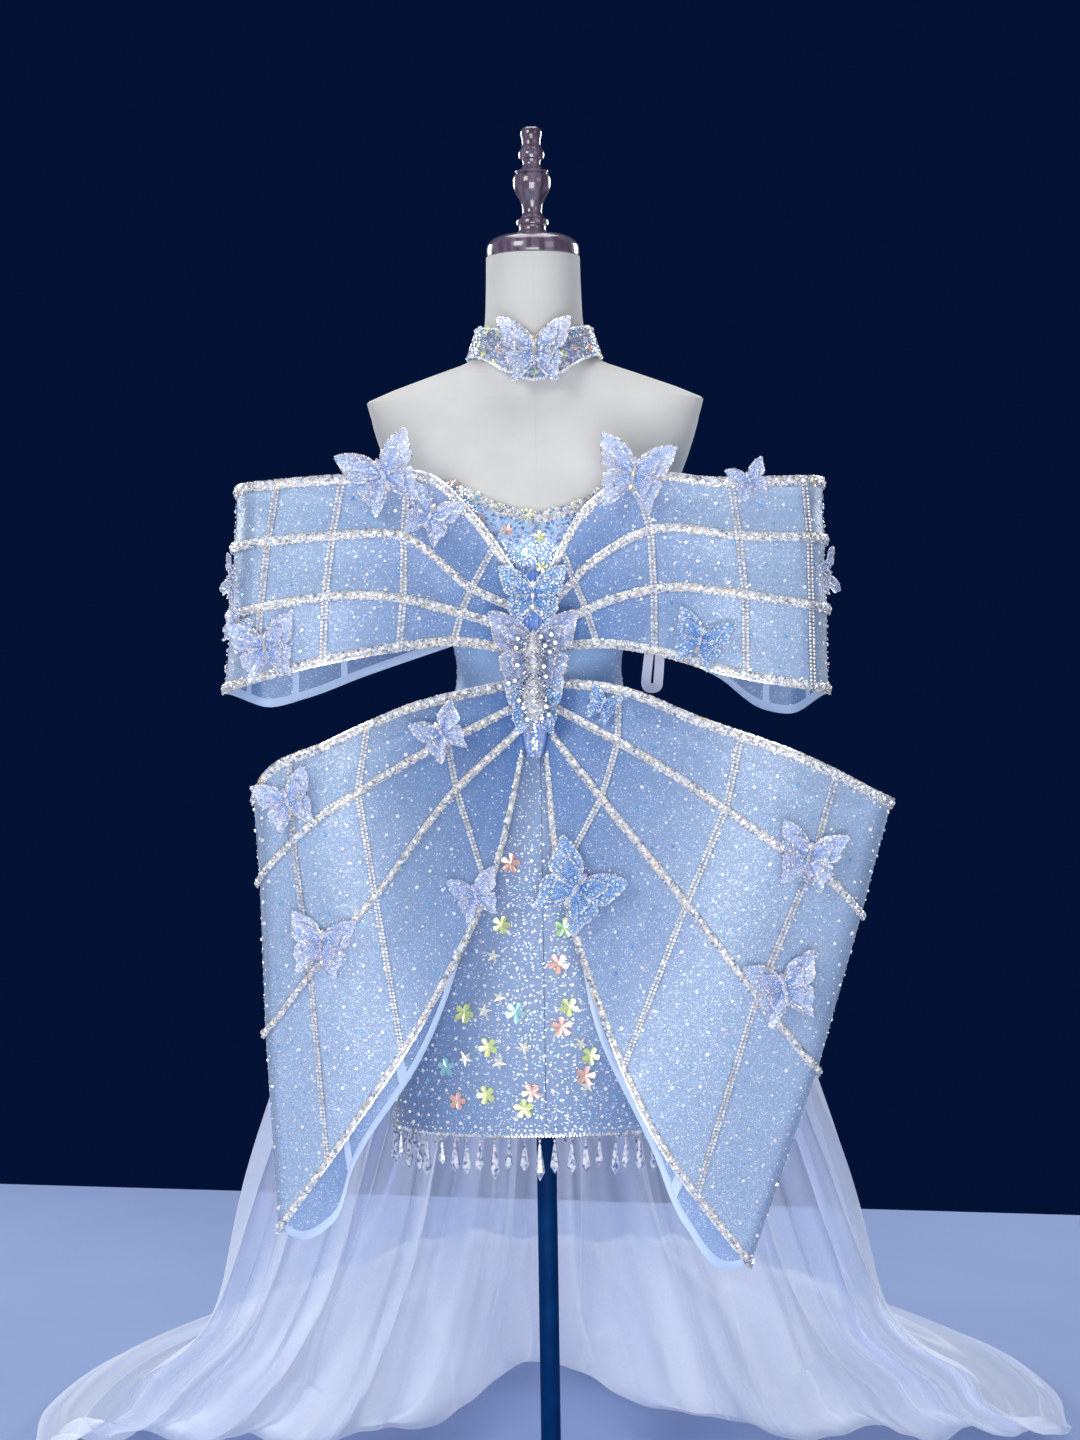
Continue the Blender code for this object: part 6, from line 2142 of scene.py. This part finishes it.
class Station(NamedTuple):
    """A row of the train from the waist to its far end."""

    half_width: float
    middle_y: float
    side_y: float
    middle_z: float
    side_z: float
    fold: float
    lean: float


@dataclass
class Train:
    """Three gores of very sheer tulle, gathered at the back waist and spread on the floor."""

    stations: tuple[Station, ...] = (
        Station(0.078, 0.0905, 0.0700, 1.040, 1.040, 0.002, 1.20),
        Station(0.150, 0.150, 0.120, 0.930, 0.925, 0.010, 1.20),
        Station(0.255, 0.290, 0.220, 0.730, 0.715, 0.027, 1.10),
        Station(0.350, 0.480, 0.330, 0.490, 0.470, 0.036, 0.80),
        Station(0.440, 0.695, 0.415, 0.260, 0.250, 0.040, 0.48),
        Station(0.570, 0.880, 0.455, 0.085, 0.120, 0.034, 0.20),
        Station(0.690, 1.005, 0.505, 0.004, 0.040, 0.022, 0.155),
        Station(0.740, 1.230, 0.810, 0.003, 0.012, 0.018, 0.28),
        Station(0.700, 1.560, 1.130, 0.003, 0.003, 0.020, 0.42),
        Station(0.560, 1.860, 1.420, 0.003, 0.003, 0.018, 0.60),
        Station(0.400, 2.140, 1.700, 0.003, 0.003, 0.012, 0.90),
    )
    gores: tuple[str, ...] = ("train_gore_left", "train_gore_middle", "train_gore_right")
    folds: int = 9
    across: int = 96
    rows: int = 130
    seam_angle: float = 52
    held: float = 0.10
    floor: float = 1.6 * MM
    wavy: float = 0.05
    side_cut: Flat = (0.60, 2.83, 0.91)
    middle_cut: Flat = (1.23, 2.88, 1.48)

    @staticmethod
    def lean_share(part: Array) -> Array:
        """How far the train's depth has turned from the middle's into the sides'."""
        return 1 - np.exp(-part**2.2)

    def base(self, a: Array, s: Array) -> tuple[Array, Array]:
        """The train's smooth surface and its folds' height.

        Args:
            a: -1 to 1 across it.
            s: 0 to 1 along it.

        Returns:
            Points and fold heights.
        """
        table = smooth(np.linspace(0, 1, len(self.stations)), self.stations, s)
        half, middle_y, side_y, middle_z, side_z, fold, reach = np.moveaxis(table, -1, 0)
        lean = self.lean_share(np.abs(a) / reach) / self.lean_share(1 / reach)
        wide = math.radians(80)
        tumble = np.abs(a) ** 3 * np.exp(-(((s - 0.54) / 0.09) ** 2)) * np.sin(50 * s + 3 * a)
        spread = np.stack([
            half * np.sin(a * wide) / math.sin(wide) + 0.022 * np.sign(a) * tumble,
            middle_y + (side_y - middle_y) * lean,
            middle_z + (side_z - middle_z) * lean + 0.012 * np.abs(tumble),
        ], axis=-1)
        turn = np.radians(90 - self.seam_angle * a)
        seam = FIGURE.skirt(turn, np.full(np.shape(turn), self.stations[0].middle_z), 2 * GAP)
        held = np.maximum(0.0, 1 - s / self.held)[..., None]
        return spread + (seam - spread) * held, fold

    def surface(self, a: Array, s: Array) -> tuple[Array, Array]:
        """The folded train, and the smooth surface's normals.

        Deep folds, with finer gathers between them and puffs where it meets the floor.
        """
        step = 0.01
        base, fold = self.base(a, s)
        across = self.base(a + step, s)[0] - self.base(a - step, s)[0]
        down = self.base(a, np.minimum(s + step, 1))[0] - self.base(a, np.maximum(s - step, 0))[0]
        normal = unit(np.cross(across, down))
        phase = math.pi * self.folds * (a + 0.04 * np.sin(5 * a + 4 * s))
        wave = (1 + np.cos(phase)) / 2
        fine = (
            0.28 * np.sin(phase * 2.7 + 3 * np.sin(4 * s + 2 * a))
            + 0.15 * np.sin(phase * 4.7 + 5 * s + 1.7 * np.sin(7 * a))
        )
        puff = np.exp(-(((s - 0.56) / 0.12) ** 2)) * (
            0.5 * np.sin(11 * s + 6 * a) + 0.35 * np.sin(23 * s - 9 * a + 1.2)
        ) * np.clip(np.abs(a) * 1.5, 0.25, 1)
        fine = fine * (0.8 - 0.55 * np.clip((s - 0.3) / 0.3, 0, 1))
        height = 1.2 * MM + fold * np.clip(wave + fine + 0.22 + puff * 0.6, 0, 1.75)
        return base + normal * height[..., None], normal

    def build(self, wear: Wardrobe) -> None:
        """Build the three gores."""
        s = np.linspace(0, 1, self.rows)[:, None]
        short = GAP / 2 / 0.5
        for number, name in enumerate(self.gores):
            start = -1 + 2 * number / 3
            a = np.linspace(start + short, start + 2 / 3 - short, self.across + 1)[None, :]
            far = 1 - self.wavy * (1 + np.sin(7 * a + 1)) / 2
            a, s_all = np.broadcast_arrays(a, s * far)
            grid, smooth_normals = self.surface(a, s_all)
            grid[..., 2] = self.laid(grid[..., 2])
            points, faces, uv = face_mesh(grid, flip=True)
            uv = np.stack([(uv[:, 0] + number) / 3, uv[:, 1]], axis=1)
            gore = make_piece(name + "_tulle", (points, faces, uv), wear.tulle)
            flank = 1 - np.abs((grid_normals(grid) * smooth_normals).sum(axis=-1))
            dense = gore.data.attributes.new("dense", "FLOAT", "POINT")
            dense.data.foreach_set("value", flank.astype(np.float32).ravel())
            settle(gore, "tulle", name)
            declare(gore, grid, self.middle_cut if number == 1 else self.side_cut, "gathered",
                    "skirt_back_left", "skirt_back_right")

    def laid(self, z: Array) -> Array:
        """Heights eased so that the cloth rests on the floor and doesn't sink into it."""
        soft = 3 * MM
        return self.floor + soft * np.logaddexp(0, (z - self.floor) / soft)


@dataclass
class HangerRibbon:
    """The satin ribbon loop that hangs from the side seam's top, its face to the front."""

    top: tuple[float, float, float] = (0.1467, 0.004, 1.2350)
    foot: tuple[float, float, float] = (0.1302, 0.004, 1.0720)
    wide: float = 11 * MM
    spread: float = 6.9 * MM
    apart: float = 3 * MM
    wall: float = 0.5 * MM
    cut: tuple[float, float] = (0.011, 0.36)

    def lane(self, offset: float) -> Array:
        """A line along the ribbon, offset metres outwards from its middle."""
        share = np.linspace(0, 1, 40)
        part = share * share * (3 - 2 * share)
        middle_x = self.top[0] + (self.foot[0] - self.top[0]) * share
        z = self.top[2] + (self.foot[2] - self.top[2]) * share
        left = middle_x - self.spread * part - offset
        right = middle_x + self.spread * part + offset
        turn = np.linspace(0, math.pi, 26)[1:-1]
        c, s = np.cos(turn), np.sin(turn)
        reach = self.spread + offset
        bend_x = self.foot[0] - reach * np.sign(c) * np.abs(c) ** 0.85
        bend_z = self.foot[2] - reach * s ** 0.85
        ripple = 0.5 * MM * np.sin(9 * share)
        return np.stack([
            np.concatenate([left, bend_x, right[::-1]]),
            np.concatenate([self.top[1] + self.apart + ripple, self.top[1] + self.apart * c,
                            (self.top[1] - self.apart + ripple)[::-1]]),
            np.concatenate([z, bend_z, z[::-1]]),
        ], axis=1)

    def build(self, wear: Wardrobe) -> None:
        """Build the loop: down, round and up again."""
        grid = np.stack([self.lane(w * self.wide / 2) for w in np.linspace(-1, 1, 5)])
        ribbon = finished("hanger_ribbon_loop", wall_mesh(grid, grid + [0, self.wall, 0]),
                          wear.ribbon, "white_ribbon", "hanger_ribbon")
        log.info("%s measures %s", ribbon.name, measured_cloth(grid))


# ------------------------------------------------------------------ studio

@dataclass
class Studio:
    """The camera, the soft lights, the pale floor and the plain surroundings."""

    camera_place: tuple[float, float, float] = (0.0, -3.06, 1.065)
    lens: float = 66.25
    pitch: float = 0.65
    roll: float = 0.88
    floor_half: float = 2.4
    floor_turn: float = -13.0

    def place_camera(self) -> None:
        """Make the camera."""
        data = bpy.data.cameras.new("camera")
        data.lens, data.sensor_width, data.clip_end = self.lens, 36.0, 60.0
        camera = linked("camera", data)
        turn = Matrix.Rotation(math.radians(90 - self.pitch), 4, "X")
        camera.matrix_world = (Matrix.Translation(self.camera_place) @ turn
                               @ Matrix.Rotation(math.radians(-self.roll), 4, "Z"))
        bpy.context.scene.camera = camera

    @staticmethod
    def light(name: str, place: Sequence[float], aim: Sequence[float], size: float,
              power: float, colour: Colour) -> None:
        """One large soft light."""
        data = bpy.data.lights.new(name, "AREA")
        data.size, data.energy, data.color = size, power, colour
        lamp = linked(name, data)
        lamp.location = place
        away = Vector(place) - Vector(aim)
        lamp.rotation_euler = away.to_track_quat("Z", "Y").to_euler()

    def build(self) -> None:
        """Make the floor, the surroundings and the lights."""
        angles = np.radians([45, 135, 225, 315] + np.array(self.floor_turn))
        rim = np.stack([np.cos(angles), np.sin(angles), 0 * angles], axis=1)
        corners = rim * self.floor_half * math.sqrt(2)
        make_piece("studio_floor", (corners, [[0, 1, 2, 3]]), FloorPaint().build())
        world = bpy.data.worlds.new("surroundings")
        world.use_nodes = True
        sky = world.node_tree.nodes["Background"]
        sky.inputs["Color"].default_value = (0.001, 0.006, 0.034, 1.0)
        sky.inputs["Strength"].default_value = 1.0
        bpy.context.scene.world = world
        bpy.context.scene.view_settings.view_transform = "Standard"
        middle = (0.0, 0.0, 0.9)
        self.light("key_left", (-2.4, -3.2, 2.9), middle, 1.6, 79, (0.985, 0.995, 0.985))
        self.light("key_right", (2.6, -3.0, 2.4), middle, 1.6, 14, (0.98, 0.98, 0.97))
        self.light("low_front", (0.0, -3.2, 0.5), (0.0, 0.0, 0.7), 1.8, 80, (0.96, 0.98, 1.0))
        self.light("top", (0.0, 0.4, 4.2), middle, 2.4, 72, (0.95, 0.97, 1.0))
        self.light("back_left", (-2.6, 2.6, 2.2), (0.0, 0.5, 0.6), 1.4, 62, (0.9, 0.95, 1.0))
        self.light("back_right", (2.6, 2.6, 2.2), (0.0, 0.5, 0.6), 1.4, 62, (0.9, 0.95, 1.0))


def main() -> None:
    """Build the studio and every piece."""
    logging.basicConfig(level=logging.INFO, format="%(message)s")
    studio = Studio()
    studio.place_camera()
    wear = Wardrobe()
    tray = StoneTray()
    sewing = Sewing(tray)
    FormAndStand().build(wear)
    DressBody().build(wear, sewing)
    Knot().build(wear)
    for loop in LOOPS:
        loop.build(wear, sewing)
    Butterflies().build(wear, sewing)
    Choker().build(wear, sewing)
    Train().build(wear)
    HangerRibbon().build(wear)
    tray.clear()
    studio.build()


if __name__ == "__main__":
    main()
